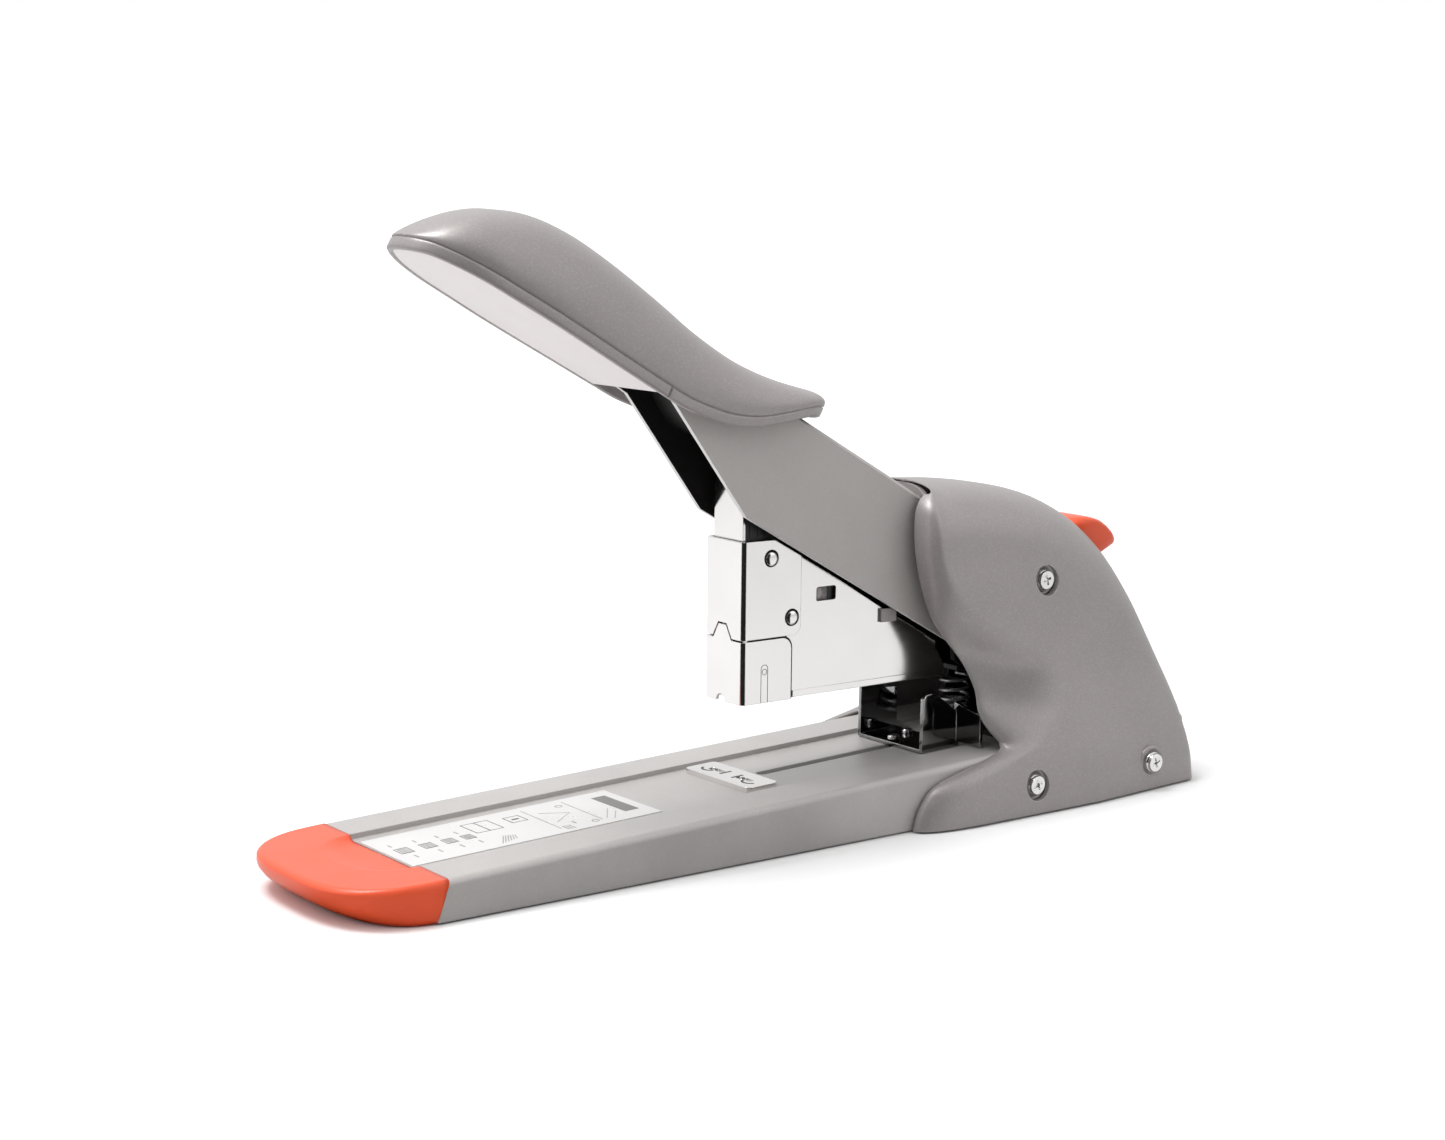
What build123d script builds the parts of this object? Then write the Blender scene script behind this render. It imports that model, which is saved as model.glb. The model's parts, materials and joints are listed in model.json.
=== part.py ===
from build123d import *

import os
from math import cos, radians, sin, tan

# Heavy-duty desk stapler. +X runs from the nose to the rear, +Y to its left side, +Z up.
# The origin is on the desk under the middle of the stapler. All values are millimetres.

os.makedirs("parts", exist_ok=True)

# ---------------------------------------------------------------- driving dimensions
LENGTH = 281.0              # nose tip to the back of the housing
BASE_WIDTH = 62.0           # steel base, outside
SKIRT_WIDTH = 76.0          # widest point of the housing
NOSE_LENGTH = 27.0          # orange nose in front of the steel
BASE_LENGTH = 245.0         # steel base, from the nose joint into the housing
FOOT_GAP = 0.5              # the shells stop this far above the desk
RAIL_FRONT = 10.54          # height of the base at the nose joint
RAIL_RISE = tan(radians(2.15))
SHEET = 1.2                 # base sheet thickness
CHANNEL_HALF = 17.1         # recessed channel in the top of the base
CHANNEL_DEPTH = 1.3
PIVOT = (207.0, 42.0)       # main shaft: distance behind the joint, height
SHAFT_R = 3.0
ARM_ANGLE = 29.2            # slope of the raised handle, degrees
ARM_OUTER = 10.7            # handle arms, half width outside
ARM_SHEET = 1.5
HEAD_FRONT = 101.5          # front face of the head, behind the joint
HEAD_BOTTOM = 34.9
HEAD_TOP = 78.0
COVER_HALF = 8.1            # head cover, half width outside
COVER_SHEET = 0.8
FRAME_HALF = 7.2            # magazine side plates, half width outside
FRAME_SHEET = 0.7
STAPLE_HALF = 6.4           # half width of a staple
DRIVER_HALF = 6.2
WALL = 1.8                  # housing wall
GAP = 0.3                   # clearance between parts that move past each other

HALF_LENGTH = LENGTH / 2
JOINT = NOSE_LENGTH - HALF_LENGTH
HALF_BASE = BASE_WIDTH / 2
LEAN = 0.34                 # the joint line leans forward towards the desk


def st(distance):
    """x of a station given as its distance behind the nose joint."""
    return JOINT + distance


def rail(distance, lift=0.0):
    """Height of the base's top face at a station, plus a lift."""
    return RAIL_FRONT + RAIL_RISE * distance + lift


def side(points):
    """Side-view points given as (distance behind the joint, height), in row coordinates."""
    return [(st(distance), height) for distance, height in points]


def along_rail(start, end, low, high):
    """Side-view strip that follows the sloping top of the base."""
    return side([(start, rail(start, low)), (end, rail(end, low)),
                 (end, rail(end, high)), (start, rail(start, high))])


PIVOT_X = st(PIVOT[0])
PIVOT_Z = PIVOT[1]
SLOPE = radians(ARM_ANGLE)
# Handle coordinates: x from the main shaft to the rear along the arms, y away from the head.
ARM_PLANE = Plane(origin=(PIVOT_X, 0, PIVOT_Z), x_dir=(cos(SLOPE), 0, -sin(SLOPE)),
                  z_dir=(0, -1, 0))
ARM_INNER = ARM_OUTER - ARM_SHEET
# Plan of the grip: x as above, y across, looking down on the arms.
GRIP_PLAN_PLANE = Plane(origin=ARM_PLANE.origin, x_dir=ARM_PLANE.x_dir, z_dir=ARM_PLANE.y_dir)

# ================================================================ base
# ---- base_frame: folded steel channel with a recessed track in its top
GUIDE_SLOT = (113.5, 176.5)
SLOT_HALF = 1.6
LOWER_SCREWS = [(181.6, 8.4), (228.0, 8.4)]
SCREW_SHANK_R = 1.5
with BuildPart() as base_frame:
    with BuildSketch(Plane.XZ):
        Polygon(*side([(-LEAN * (RAIL_FRONT - FOOT_GAP), FOOT_GAP), (0, rail(0)),
                       (BASE_LENGTH, rail(BASE_LENGTH)), (BASE_LENGTH, FOOT_GAP)]), align=None)
    extrude(amount=HALF_BASE, both=True)
    fold_edges = base_frame.edges().filter_by(lambda e: e.length > 200).group_by(Axis.Z)[-1]
    fillet(fold_edges, radius=1.8)
    with BuildSketch(Plane.XZ):
        Polygon(*side([(-10, -1), (-10, rail(-10, -SHEET)),
                       (BASE_LENGTH - SHEET, rail(BASE_LENGTH - SHEET, -SHEET)),
                       (BASE_LENGTH - SHEET, -1)]), align=None)
    extrude(amount=HALF_BASE - SHEET, both=True, mode=Mode.SUBTRACT)
    with BuildSketch(Plane.XZ):
        Polygon(*along_rail(0, BASE_LENGTH - SHEET, -CHANNEL_DEPTH - SHEET, -0.4), align=None)
    extrude(amount=CHANNEL_HALF + SHEET, both=True)
    with BuildSketch(Plane.XZ):
        Polygon(*along_rail(-6, BASE_LENGTH + 6, -CHANNEL_DEPTH, 5), align=None)
    extrude(amount=CHANNEL_HALF, both=True, mode=Mode.SUBTRACT)
    with BuildSketch(Plane.XY):
        with Locations((st(sum(GUIDE_SLOT) / 2), 0)):
            SlotOverall(GUIDE_SLOT[1] - GUIDE_SLOT[0], 2 * SLOT_HALF)
    extrude(amount=30, mode=Mode.SUBTRACT)
    with BuildSketch(Plane.XZ):
        with Locations(*side(LOWER_SCREWS)):
            Circle(SCREW_SHANK_R + 0.1)
    extrude(amount=HALF_BASE + 1, both=True, mode=Mode.SUBTRACT)
base_frame.part.label = "base_frame"
export_step(base_frame.part, "parts/base_frame.step")

# ---- base_floor: plate that closes the underside of the base
FLOOR_Z = (1.5, 2.7)
with BuildPart() as base_floor:
    with BuildSketch(Plane.XY.offset(FLOOR_Z[0])):
        with Locations((st(127), 0)):
            RectangleRounded(2 * 112, 2 * (HALF_BASE - SHEET - 0.4), 3)
    extrude(amount=FLOOR_Z[1] - FLOOR_Z[0])
base_floor.part.label = "base_floor"
export_step(base_floor.part, "parts/base_floor.step")

# ---- rubber_feet: four pads under the floor plate
with BuildPart() as rubber_feet:
    with BuildSketch(Plane.XY):
        with Locations([(st(x), y) for x in (26, 226) for y in (-21, 21)]):
            Circle(6)
    extrude(amount=FLOOR_Z[0])
rubber_feet.part.label = "rubber_feet"
export_step(rubber_feet.part, "parts/rubber_feet.step")


# ---- nose_cap: moulded nose, undercut towards the desk, with a low middle
def nose_outline(reach, half):
    """Blunt rounded outline of the nose at one height."""
    shares = [(0.0, 1.0), (0.40, 0.97), (0.70, 0.84), (0.93, 0.48)]
    right = [(st(-reach * along), -half * across) for along, across in shares]
    left = [(x, -y) for x, y in reversed(right)]
    return right + [(st(-reach), 0)] + left


NOSE_UNDERCUT = 7.0         # the nose is this much shorter at the desk
NOSE_WIDEST = 7.0           # height of the nose's tip
with BuildPart() as nose_cap:
    for height, reach in ((FOOT_GAP, NOSE_LENGTH - NOSE_UNDERCUT), (NOSE_WIDEST, NOSE_LENGTH)):
        with BuildSketch(Plane.XY.offset(height)):
            with BuildLine():
                curve = Spline(*nose_outline(reach, HALF_BASE), tangents=[(-1, 0), (1, 0)])
                Line(curve @ 1, curve @ 0)
            make_face()
    loft()
    extrude(nose_cap.faces().sort_by(Axis.Z)[-1], amount=RAIL_FRONT - NOSE_WIDEST)
    # sloping top, low middle and the leaning rear face
    with BuildSketch(Plane.XZ):
        Polygon(*side([(-40, rail(-40)), (10, rail(10)), (10, 20), (-40, 20)]), align=None)
    extrude(amount=HALF_BASE + 5, both=True, mode=Mode.SUBTRACT)
    with BuildSketch(Plane.XZ):
        Polygon(*side([(-16, rail(-16, 0.1)), (2, rail(2, -1.5)), (2, 20), (-16, 20)]), align=None)
    extrude(amount=CHANNEL_HALF - 1.5, both=True, mode=Mode.SUBTRACT)
    with BuildSketch(Plane.XZ):
        Polygon(*side([(-LEAN * RAIL_FRONT - 0.4, -0.1), (-0.2, rail(0, 0.2)), (6, 20), (6, -0.1)]),
                align=None)
    extrude(amount=HALF_BASE + 5, both=True, mode=Mode.SUBTRACT)
    # tongue that plugs into the steel channel
    with BuildSketch(Plane.XZ):
        Polygon(*side([(-5, 3), (12, 3), (12, 7.4), (-5, 7.4)]), align=None)
    extrude(amount=HALF_BASE - SHEET - 0.6, both=True)
nose_cap.part.label = "nose_cap"
export_step(nose_cap.part, "parts/nose_cap.step")

# ---- instruction_label: printed foil in the front of the channel
LABEL_END = 72.7
with BuildPart() as instruction_label:
    with BuildSketch(Plane.XZ):
        Polygon(*along_rail(0.3, LABEL_END, -CHANNEL_DEPTH, -CHANNEL_DEPTH + 0.2), align=None)
    extrude(amount=13.15, both=True)
instruction_label.part.label = "instruction_label"
export_step(instruction_label.part, "parts/instruction_label.step")

# ---- anvil_plate: hardened plate with two clinching grooves
ANVIL = (99.4, 109.7)
ANVIL_HALF = 14.0
ANVIL_TOP = 0.15
with BuildPart() as anvil_plate:
    with BuildSketch(Plane.XZ):
        Polygon(*along_rail(*ANVIL, -CHANNEL_DEPTH, ANVIL_TOP), align=None)
    extrude(amount=ANVIL_HALF, both=True)
    corner_edges = anvil_plate.edges().filter_by(Axis.Z, tolerance=5)
    fillet(corner_edges, radius=1.5)
    with BuildSketch(Plane.XY.offset(rail(104.5, ANVIL_TOP - 0.7))):
        with Locations((st(104.6), 6.0), (st(104.6), -6.0)):
            SlotOverall(6.4, 2.0, rotation=90)
    extrude(amount=4, mode=Mode.SUBTRACT)
anvil_plate.part.label = "anvil_plate"
export_step(anvil_plate.part, "parts/anvil_plate.step")

# ================================================================ paper guide
GUIDE = (160.0, 173.6)
GUIDE_HALF = 13.6
GUIDE_LOW = -CHANNEL_DEPTH + GAP
GUIDE_HIGH = GUIDE_LOW + 0.8
WING_HALF = 23.2
with BuildPart() as paper_guide:
    with BuildSketch(Plane.XZ):
        Polygon(*along_rail(*GUIDE, GUIDE_LOW, GUIDE_HIGH), align=None)
    extrude(amount=GUIDE_HALF, both=True)
    with BuildSketch(Plane.XZ.offset(GUIDE_HALF - 1)):
        Polygon(*side([(160.0, rail(160, GUIDE_LOW)), (160.2, 30.6), (161.4, 31.6), (163.4, 31.9),
                       (165.4, 31.1), (173.6, 25.5), (173.6, rail(173.6, GUIDE_LOW))]), align=None)
    extrude(amount=1)
    with BuildSketch(Plane.YZ.offset(st(GUIDE[1] - 1))):
        Polygon((-GUIDE_HALF + 1, 28.4), (-WING_HALF, 26.1), (-WING_HALF, rail(174, GAP)),
                (-GUIDE_HALF + 1, rail(174, GAP)), align=None)
    extrude(amount=1)
    mirror(about=Plane.XZ)
paper_guide.part.label = "paper_guide"
export_step(paper_guide.part, "parts/paper_guide.step")

# ---- guide_clamp: T-shaped nut under the track; its neck runs in the slot
with BuildPart() as guide_clamp:
    with BuildSketch(Plane.XZ):
        Polygon(*along_rail(161, 172, -CHANNEL_DEPTH - SHEET - 0.6, GUIDE_LOW), align=None)
    extrude(amount=SLOT_HALF - GAP, both=True)
    with BuildSketch(Plane.XZ):
        Polygon(*along_rail(160, 173, -CHANNEL_DEPTH - SHEET - 2.2, -CHANNEL_DEPTH - SHEET - 0.3),
                align=None)
    extrude(amount=7, both=True)
guide_clamp.part.label = "guide_clamp"
export_step(guide_clamp.part, "parts/guide_clamp.step")

# ---- guide_screws: two small pan heads that hold the guide to its nut
with BuildPart() as guide_screws:
    with BuildSketch(Plane.XY.offset(rail(172.4, GUIDE_HIGH))):
        with Locations((st(162.2), 0.8), (st(170.6), 4.6)):
            Circle(1.7)
    extrude(amount=1.1)
    fillet(guide_screws.edges().group_by(Axis.Z)[-1], radius=0.5)
guide_screws.part.label = "guide_screws"
export_step(guide_screws.part, "parts/guide_screws.step")

# ================================================================ housing
# Level sections of the shell: height, rear end, half width, corner radius.
SHELL_FRONT = 140.5
SECTIONS = [(FOOT_GAP, 253.8, 38.0, 20), (9, 253.8, 37.3, 20), (24, 251.5, 33.2, 18),
            (40, 246.0, 28.6, 17), (56, 237.5, 25.0, 15), (68, 228.5, 22.2, 13),
            (78, 216.0, 19.6, 12), (85, 200.0, 17.6, 10), (89.8, 172.0, 13.0, 7)]


def shell_loft(inset, front, front_radius):
    """Solid through the shell's level sections, all faces moved inwards by the inset."""
    with BuildPart() as solid:
        for height, rear, half, radius in SECTIONS:
            level = height
            if height == SECTIONS[0][0]:
                level = height - 3 * inset
            if height == SECTIONS[-1][0]:
                level = height - inset
            length = rear - inset - front
            with BuildSketch(Plane.XY.offset(level)) as section:
                with Locations((st(front + length / 2), 0)):
                    Rectangle(length, 2 * (half - inset))
                fillet(section.vertices().group_by(Axis.X)[-1], radius=radius - inset)
                fillet(section.vertices().group_by(Axis.X)[0], radius=front_radius)
        loft()
    return solid.part


# Side view of the shell's front edge, from the desk up to the roof.
MOUTH = [(140.5, FOOT_GAP), (142.5, 6.0), (147.0, 10.8), (156.0, 13.6), (167.0, 16.4),
         (174.8, 18.6), (172.0, 26.0), (170.5, 33.0), (166.5, 42.0), (161.0, 50.0), (157.0, 59.0),
         (155.2, 68.0), (155.0, 76.0), (156.0, 83.0), (159.0, 88.0), (162.0, 92.0)]
UPPER_SCREW = (196.0, 62.0)
BOSS_R = 3.4
BOSS_FLOOR = 21.8           # depth of the upper screw's recess, from the middle plane
LOWER_FLOOR = 35.4
SCREW_HEAD_R = 3.0
BUTTON_AT = (227.5, 69.0)
BUTTON_ANGLE = 24.0         # the button slides forward and down at this slope
BUTTON_PLANE = Plane(origin=(st(BUTTON_AT[0]), 0, BUTTON_AT[1]), x_dir=(0, 1, 0),
                     z_dir=(cos(radians(BUTTON_ANGLE)), 0, sin(radians(BUTTON_ANGLE))))
BUTTON_SIZE = (17.0, 15.0)
shell_outside = shell_loft(0, SHELL_FRONT, 7)
shell_inside = shell_loft(WALL, 160.0, 1.5)
with BuildPart() as housing:
    add(shell_outside)
    add(shell_inside, mode=Mode.SUBTRACT)
    # tunnel round the base
    with BuildSketch(Plane.XZ):
        Polygon(*side([(130, -1), (130, rail(130, GAP)), (BASE_LENGTH + 1, rail(BASE_LENGTH, GAP)),
                       (BASE_LENGTH + 1, -1)]), align=None)
    extrude(amount=HALF_BASE + GAP, both=True, mode=Mode.SUBTRACT)
    # slot for the arms and the head, wider towards the base
    with BuildSketch(Plane.YZ.offset(st(130))):
        half_slot = [(12.3, 95), (12.3, 60), (14.5, 50), (19.0, 38), (25.5, 26), (30.5, 15)]
        Polygon(*half_slot, *[(-y, z) for y, z in reversed(half_slot)], align=None)
    extrude(amount=34, mode=Mode.SUBTRACT)
    # everything in front of the mouth
    with BuildSketch(Plane.XZ):
        Polygon(*side(MOUTH + [(120, 92), (120, -1), (140.5, -1)]), align=None)
    extrude(amount=SKIRT_WIDTH, both=True, mode=Mode.SUBTRACT)
    # screw pillars and their recesses
    with BuildSketch(Plane.XZ.offset(3)):
        with Locations(*side([UPPER_SCREW])):
            Circle(BOSS_R)
    extrude(amount=BOSS_FLOOR - 3)
    with BuildSketch(Plane.XZ.offset(HALF_BASE + GAP)):
        with Locations(*side(LOWER_SCREWS)):
            Circle(BOSS_R + 1.6)
    extrude(amount=LOWER_FLOOR - HALF_BASE - GAP)
    with BuildSketch(Plane.XZ.offset(BOSS_FLOOR)):
        with Locations(*side([UPPER_SCREW])):
            Circle(SCREW_HEAD_R + 0.8)
    extrude(amount=12, mode=Mode.SUBTRACT)
    with BuildSketch(Plane.XZ.offset(LOWER_FLOOR)):
        with Locations(*side(LOWER_SCREWS)):
            Circle(SCREW_HEAD_R + 0.8)
    extrude(amount=12, mode=Mode.SUBTRACT)
    with BuildSketch(Plane.XZ.offset(6)):
        with Locations(*side([UPPER_SCREW] + LOWER_SCREWS)):
            Circle(SCREW_SHANK_R)
    extrude(amount=30, mode=Mode.SUBTRACT)
    # window for the release button
    with BuildSketch(BUTTON_PLANE.offset(-9)):
        RectangleRounded(BUTTON_SIZE[0] + 2 * GAP, BUTTON_SIZE[1] + 2 * GAP, 3)
    extrude(amount=40, mode=Mode.SUBTRACT)
    split(bisect_by=Plane.XZ, keep=Keep.TOP)
with BuildPart() as housing_right:
    add(housing.part)
with BuildPart() as housing_left:
    add(mirror(housing.part, about=Plane.XZ, mode=Mode.PRIVATE))
housing_right.part.label = "housing_right"
export_step(housing_right.part, "parts/housing_right.step")
housing_left.part.label = "housing_left"
export_step(housing_left.part, "parts/housing_left.step")

# ---- housing_screws: six cross-recessed pan heads
with BuildPart() as housing_screws:
    for spots, floor, reach in (([UPPER_SCREW], BOSS_FLOOR, 14), (LOWER_SCREWS, LOWER_FLOOR, 7)):
        with BuildSketch(Plane.XZ.offset(floor)):
            with Locations(*side(spots)):
                Circle(SCREW_HEAD_R)
        extrude(amount=2.0, taper=14)
        with BuildSketch(Plane.XZ.offset(floor)):
            with Locations(*side(spots)):
                Circle(SCREW_SHANK_R)
        extrude(amount=-reach)
        with BuildSketch(Plane.XZ.offset(floor + 2.0)):
            with Locations(*side(spots)):
                Rectangle(3.0, 0.7, rotation=20)
                Rectangle(0.7, 3.0, rotation=20)
        extrude(amount=-0.9, mode=Mode.SUBTRACT)
    mirror(about=Plane.XZ)
housing_screws.part.label = "housing_screws"
export_step(housing_screws.part, "parts/housing_screws.step")

# ================================================================ shaft and its bracket
BRACKET = (11.4, 12.9)
BRACKET_BASE = (188.0, 238.0)
with BuildPart() as pivot_bracket:
    with BuildSketch(Plane.XZ):
        Polygon(*along_rail(*BRACKET_BASE, -CHANNEL_DEPTH, 0.2), align=None)
    extrude(amount=BRACKET[1], both=True)
    with BuildSketch(Plane.XZ.offset(BRACKET[0])):
        Polygon(*side([(188, rail(188)), (196, 44), (201, 52), (213, 52), (219, 44),
                       (238, rail(238))]), align=None)
        with Locations(*side([PIVOT])):
            Circle(SHAFT_R + 0.02, mode=Mode.SUBTRACT)
    extrude(amount=BRACKET[1] - BRACKET[0])
    mirror(about=Plane.XZ)
pivot_bracket.part.label = "pivot_bracket"
export_step(pivot_bracket.part, "parts/pivot_bracket.step")

with BuildPart() as bracket_screws:
    with BuildSketch(Plane.XY.offset(rail(228, 0.3))):
        with Locations((st(226), -6.5), (st(226), 6.5)):
            Circle(2.6)
    extrude(amount=1.6)
    fillet(bracket_screws.edges().group_by(Axis.Z)[-1], radius=0.7)
bracket_screws.part.label = "bracket_screws"
export_step(bracket_screws.part, "parts/bracket_screws.step")

SHAFT_HALF = 15.2
CLIP = (13.1, 14.0)
with BuildPart() as pivot_shaft:
    with BuildSketch(Plane.XZ):
        with Locations(*side([PIVOT])):
            Circle(SHAFT_R)
    extrude(amount=SHAFT_HALF, both=True)
    with BuildSketch(Plane.XZ.offset(CLIP[0] - 0.05)):
        with Locations(*side([PIVOT])):
            Circle(SHAFT_R + 1)
            Circle(SHAFT_R - 0.5, mode=Mode.SUBTRACT)
    extrude(amount=CLIP[1] - CLIP[0] + 0.1, mode=Mode.SUBTRACT)
    with BuildSketch(Plane.XZ.offset(-CLIP[1] - 0.05)):
        with Locations(*side([PIVOT])):
            Circle(SHAFT_R + 1)
            Circle(SHAFT_R - 0.5, mode=Mode.SUBTRACT)
    extrude(amount=CLIP[1] - CLIP[0] + 0.1, mode=Mode.SUBTRACT)
pivot_shaft.part.label = "pivot_shaft"
export_step(pivot_shaft.part, "parts/pivot_shaft.step")

with BuildPart() as shaft_clips:
    with BuildSketch(Plane.XZ.offset(CLIP[0])):
        with Locations(*side([PIVOT])):
            Circle(SHAFT_R + 2)
            Circle(SHAFT_R - 0.48, mode=Mode.SUBTRACT)
        with Locations(*side([(PIVOT[0], PIVOT[1] - 5)])):
            Rectangle(3.4, 6, mode=Mode.SUBTRACT)
    extrude(amount=CLIP[1] - CLIP[0])
    mirror(about=Plane.XZ)
shaft_clips.part.label = "shaft_clips"
export_step(shaft_clips.part, "parts/shaft_clips.step")

# ---- handle_spring: torsion coil on the shaft
with BuildPart() as handle_spring:
    with BuildSketch(Plane.XZ):
        with Locations(*side([PIVOT])):
            Circle(SHAFT_R + 2.4)
            Circle(SHAFT_R + 0.5, mode=Mode.SUBTRACT)
    extrude(amount=4.2, both=True)
handle_spring.part.label = "handle_spring"
export_step(handle_spring.part, "parts/handle_spring.step")

# ---- lift_spring: compression coil that raises the head
LIFT_AT = 188.0
with BuildPart() as lift_spring:
    with BuildSketch(Plane.XY.offset(rail(LIFT_AT, -CHANNEL_DEPTH + 1.7))):
        with Locations((st(LIFT_AT - 4), 0)):
            Circle(4.6)
            Circle(3.4, mode=Mode.SUBTRACT)
    extrude(amount=15.0)
lift_spring.part.label = "lift_spring"
export_step(lift_spring.part, "parts/lift_spring.step")

# ================================================================ handle
DRIVE_PIN = (118.0, 99.5)
DRIVE_PIN_R = 2.5


def arm_point(point):
    """Handle coordinates of a (distance, height) point."""
    dx, dz = point[0] - PIVOT[0], point[1] - PIVOT[1]
    return (dx * cos(SLOPE) - dz * sin(SLOPE), dx * sin(SLOPE) + dz * cos(SLOPE))


ARM_OUTLINE = [(-113.9, -14.4), (-150.0, 1.6), (-208.0, 4.0), (-208.0, 12.0), (-196.0, 16.0),
               (-62.0, 16.0), (-46.0, 11.0), (-23.0, 6.0), (-8.0, 8.5), (0.0, 11.0), (8.5, 7.0),
               (11.0, 0.0), (8.5, -7.0), (0.0, -11.0), (-14.0, -14.4)]
with BuildPart() as handle_arms:
    with BuildSketch(ARM_PLANE):
        Polygon(*ARM_OUTLINE, align=None)
    extrude(amount=ARM_OUTER, both=True)
    top_edges = handle_arms.edges().filter_by(lambda e: abs(e.length - 134.0) < 0.5)
    chamfer(top_edges, length=0.9)
    with BuildSketch(ARM_PLANE):
        Polygon((-240, -40), (-240, 16.0 - ARM_SHEET), (-60, 16.0 - ARM_SHEET), (-60, 40),
                (40, 40), (40, -40), align=None)
    extrude(amount=ARM_INNER, both=True, mode=Mode.SUBTRACT)
    with BuildSketch(ARM_PLANE):
        Circle(SHAFT_R + 0.06)
        with Locations(arm_point(DRIVE_PIN)):
            Circle(DRIVE_PIN_R + 0.02)
    extrude(amount=ARM_OUTER + 1, both=True, mode=Mode.SUBTRACT)
handle_arms.part.label = "handle_arms"
export_step(handle_arms.part, "parts/handle_arms.step")

with BuildPart() as drive_pin:
    with BuildSketch(Plane.XZ):
        with Locations(*side([DRIVE_PIN])):
            Circle(DRIVE_PIN_R)
    extrude(amount=ARM_OUTER - 0.1, both=True)
drive_pin.part.label = "drive_pin"
export_step(drive_pin.part, "parts/drive_pin.step")

# ---- handle_stiffener: black moulded filler inside the channel, with an arched underside
with BuildPart() as handle_stiffener:
    with BuildSketch(ARM_PLANE):
        with BuildLine():
            arch = Spline((-152, 10.5), (-143.1, 4.6), (-133.0, 0.6), (-124.8, 2.2), (-121.5, 9.0))
            Polyline(arch @ 1, (-121.5, 14.2), (-204, 14.2), (-204, 10.5), arch @ 0)
        make_face()
    extrude(amount=ARM_INNER - 0.2, both=True)
handle_stiffener.part.label = "handle_stiffener"
export_step(handle_stiffener.part, "parts/handle_stiffener.step")

# ---- grip_cover: moulded shell over the front of the arms
GRIP_TIP = -232.0
GRIP_REAR = -102.0
GRIP_TOP = [(-231.6, 2.0), (-229.0, 8.0), (-223.5, 13.4), (-216.0, 18.7), (-205.5, 23.0),
            (-193.3, 24.9), (-179.7, 24.6), (-165.0, 23.0), (-151.6, 21.4), (-136.0, 20.4),
            (-120.4, 21.6), (-106.8, 25.0), (GRIP_REAR, 23.0)]
GRIP_BOTTOM = [(-108.0, 19.6), (-115.8, 14.6), (-124.0, 7.4), (-134.0, 2.6), (-150.0, 0.0),
               (-228.0, 0.0)]
GRIP_HALF = 18.0
GRIP_TALL = 24.9
GRIP_PLAN = [(GRIP_TIP, 0.0), (-229.5, 8.0), (-222.0, 14.0), (-208.0, 17.4), (-192.0, GRIP_HALF),
             (-165.0, 16.4), (-142.0, 15.9), (-119.0, 17.0)]
GRIP_TAIL = [(-107.0, 12.0), (GRIP_REAR, 0.0)]      # round rear end of the plan


def shrink(points, inset, half_span):
    """Outline moved inwards: ends along x, everything else towards y = 0."""
    middle = (GRIP_TIP + GRIP_REAR) / 2
    half_length = (GRIP_REAR - GRIP_TIP) / 2
    along = (half_length - inset) / half_length
    across = (half_span - inset) / half_span
    return [(middle + (x - middle) * along, y * across) for x, y in points]


def grip_solid(inset):
    """The grip's outer form moved inwards: its side profile cut by its plan."""
    flank = shrink(GRIP_PLAN, inset, GRIP_HALF)
    tail = shrink(GRIP_TAIL, inset, GRIP_HALF)
    with BuildPart() as solid:
        with BuildSketch(ARM_PLANE):
            with BuildLine():
                top = Spline(*shrink(GRIP_TOP, inset, GRIP_TALL))
                Polyline(top @ 1, *shrink(GRIP_BOTTOM, inset, GRIP_TALL), top @ 0)
            make_face()
        extrude(amount=20, both=True)
        with BuildSketch(GRIP_PLAN_PLANE.offset(-10)):
            with BuildLine():
                Spline(*flank, tangents=[(0, 1), (1, 0)])
                ThreePointArc(flank[-1], *tail)
                mirror(about=Plane.XZ)
            make_face()
        extrude(amount=50, mode=Mode.INTERSECT)
    return solid.part


grip_outside = grip_solid(0)
grip_inside = grip_solid(2.2)
with BuildPart() as grip_cover:
    add(grip_outside)
    add(grip_inside, mode=Mode.SUBTRACT)
    # open underside and the passage for the arms
    with BuildSketch(ARM_PLANE):
        Polygon((-226, -8), (-226, 2.3), (-112, 2.3), (-112, -8), align=None)
    extrude(amount=14.4, both=True, mode=Mode.SUBTRACT)
    with BuildSketch(ARM_PLANE):
        Polygon((-155, -20), (-155, 16 + GAP), (-80, 16 + GAP), (-80, -20), align=None)
    extrude(amount=ARM_OUTER + 0.2, both=True, mode=Mode.SUBTRACT)
grip_cover.part.label = "grip_cover"
export_step(grip_cover.part, "parts/grip_cover.step")

# ---- grip_base: pale plate that closes the underside of the grip
with BuildPart() as grip_base:
    with BuildSketch(GRIP_PLAN_PLANE.offset(0.2)):
        with BuildLine():
            near = Spline((-225.8, 0), (-222, 9.0), (-208, 14.2), tangents=[(0, 1), (1, 0.1)])
            Polyline(near @ 1, (-156.5, 14.2), (-156.5, -14.2), (-208, -14.2))
            Spline((-208, -14.2), (-222, -9.0), near @ 0, tangents=[(-1, 0.1), (0, 1)])
        make_face()
    extrude(amount=1.6)
grip_base.part.label = "grip_base"
export_step(grip_base.part, "parts/grip_base.step")

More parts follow.
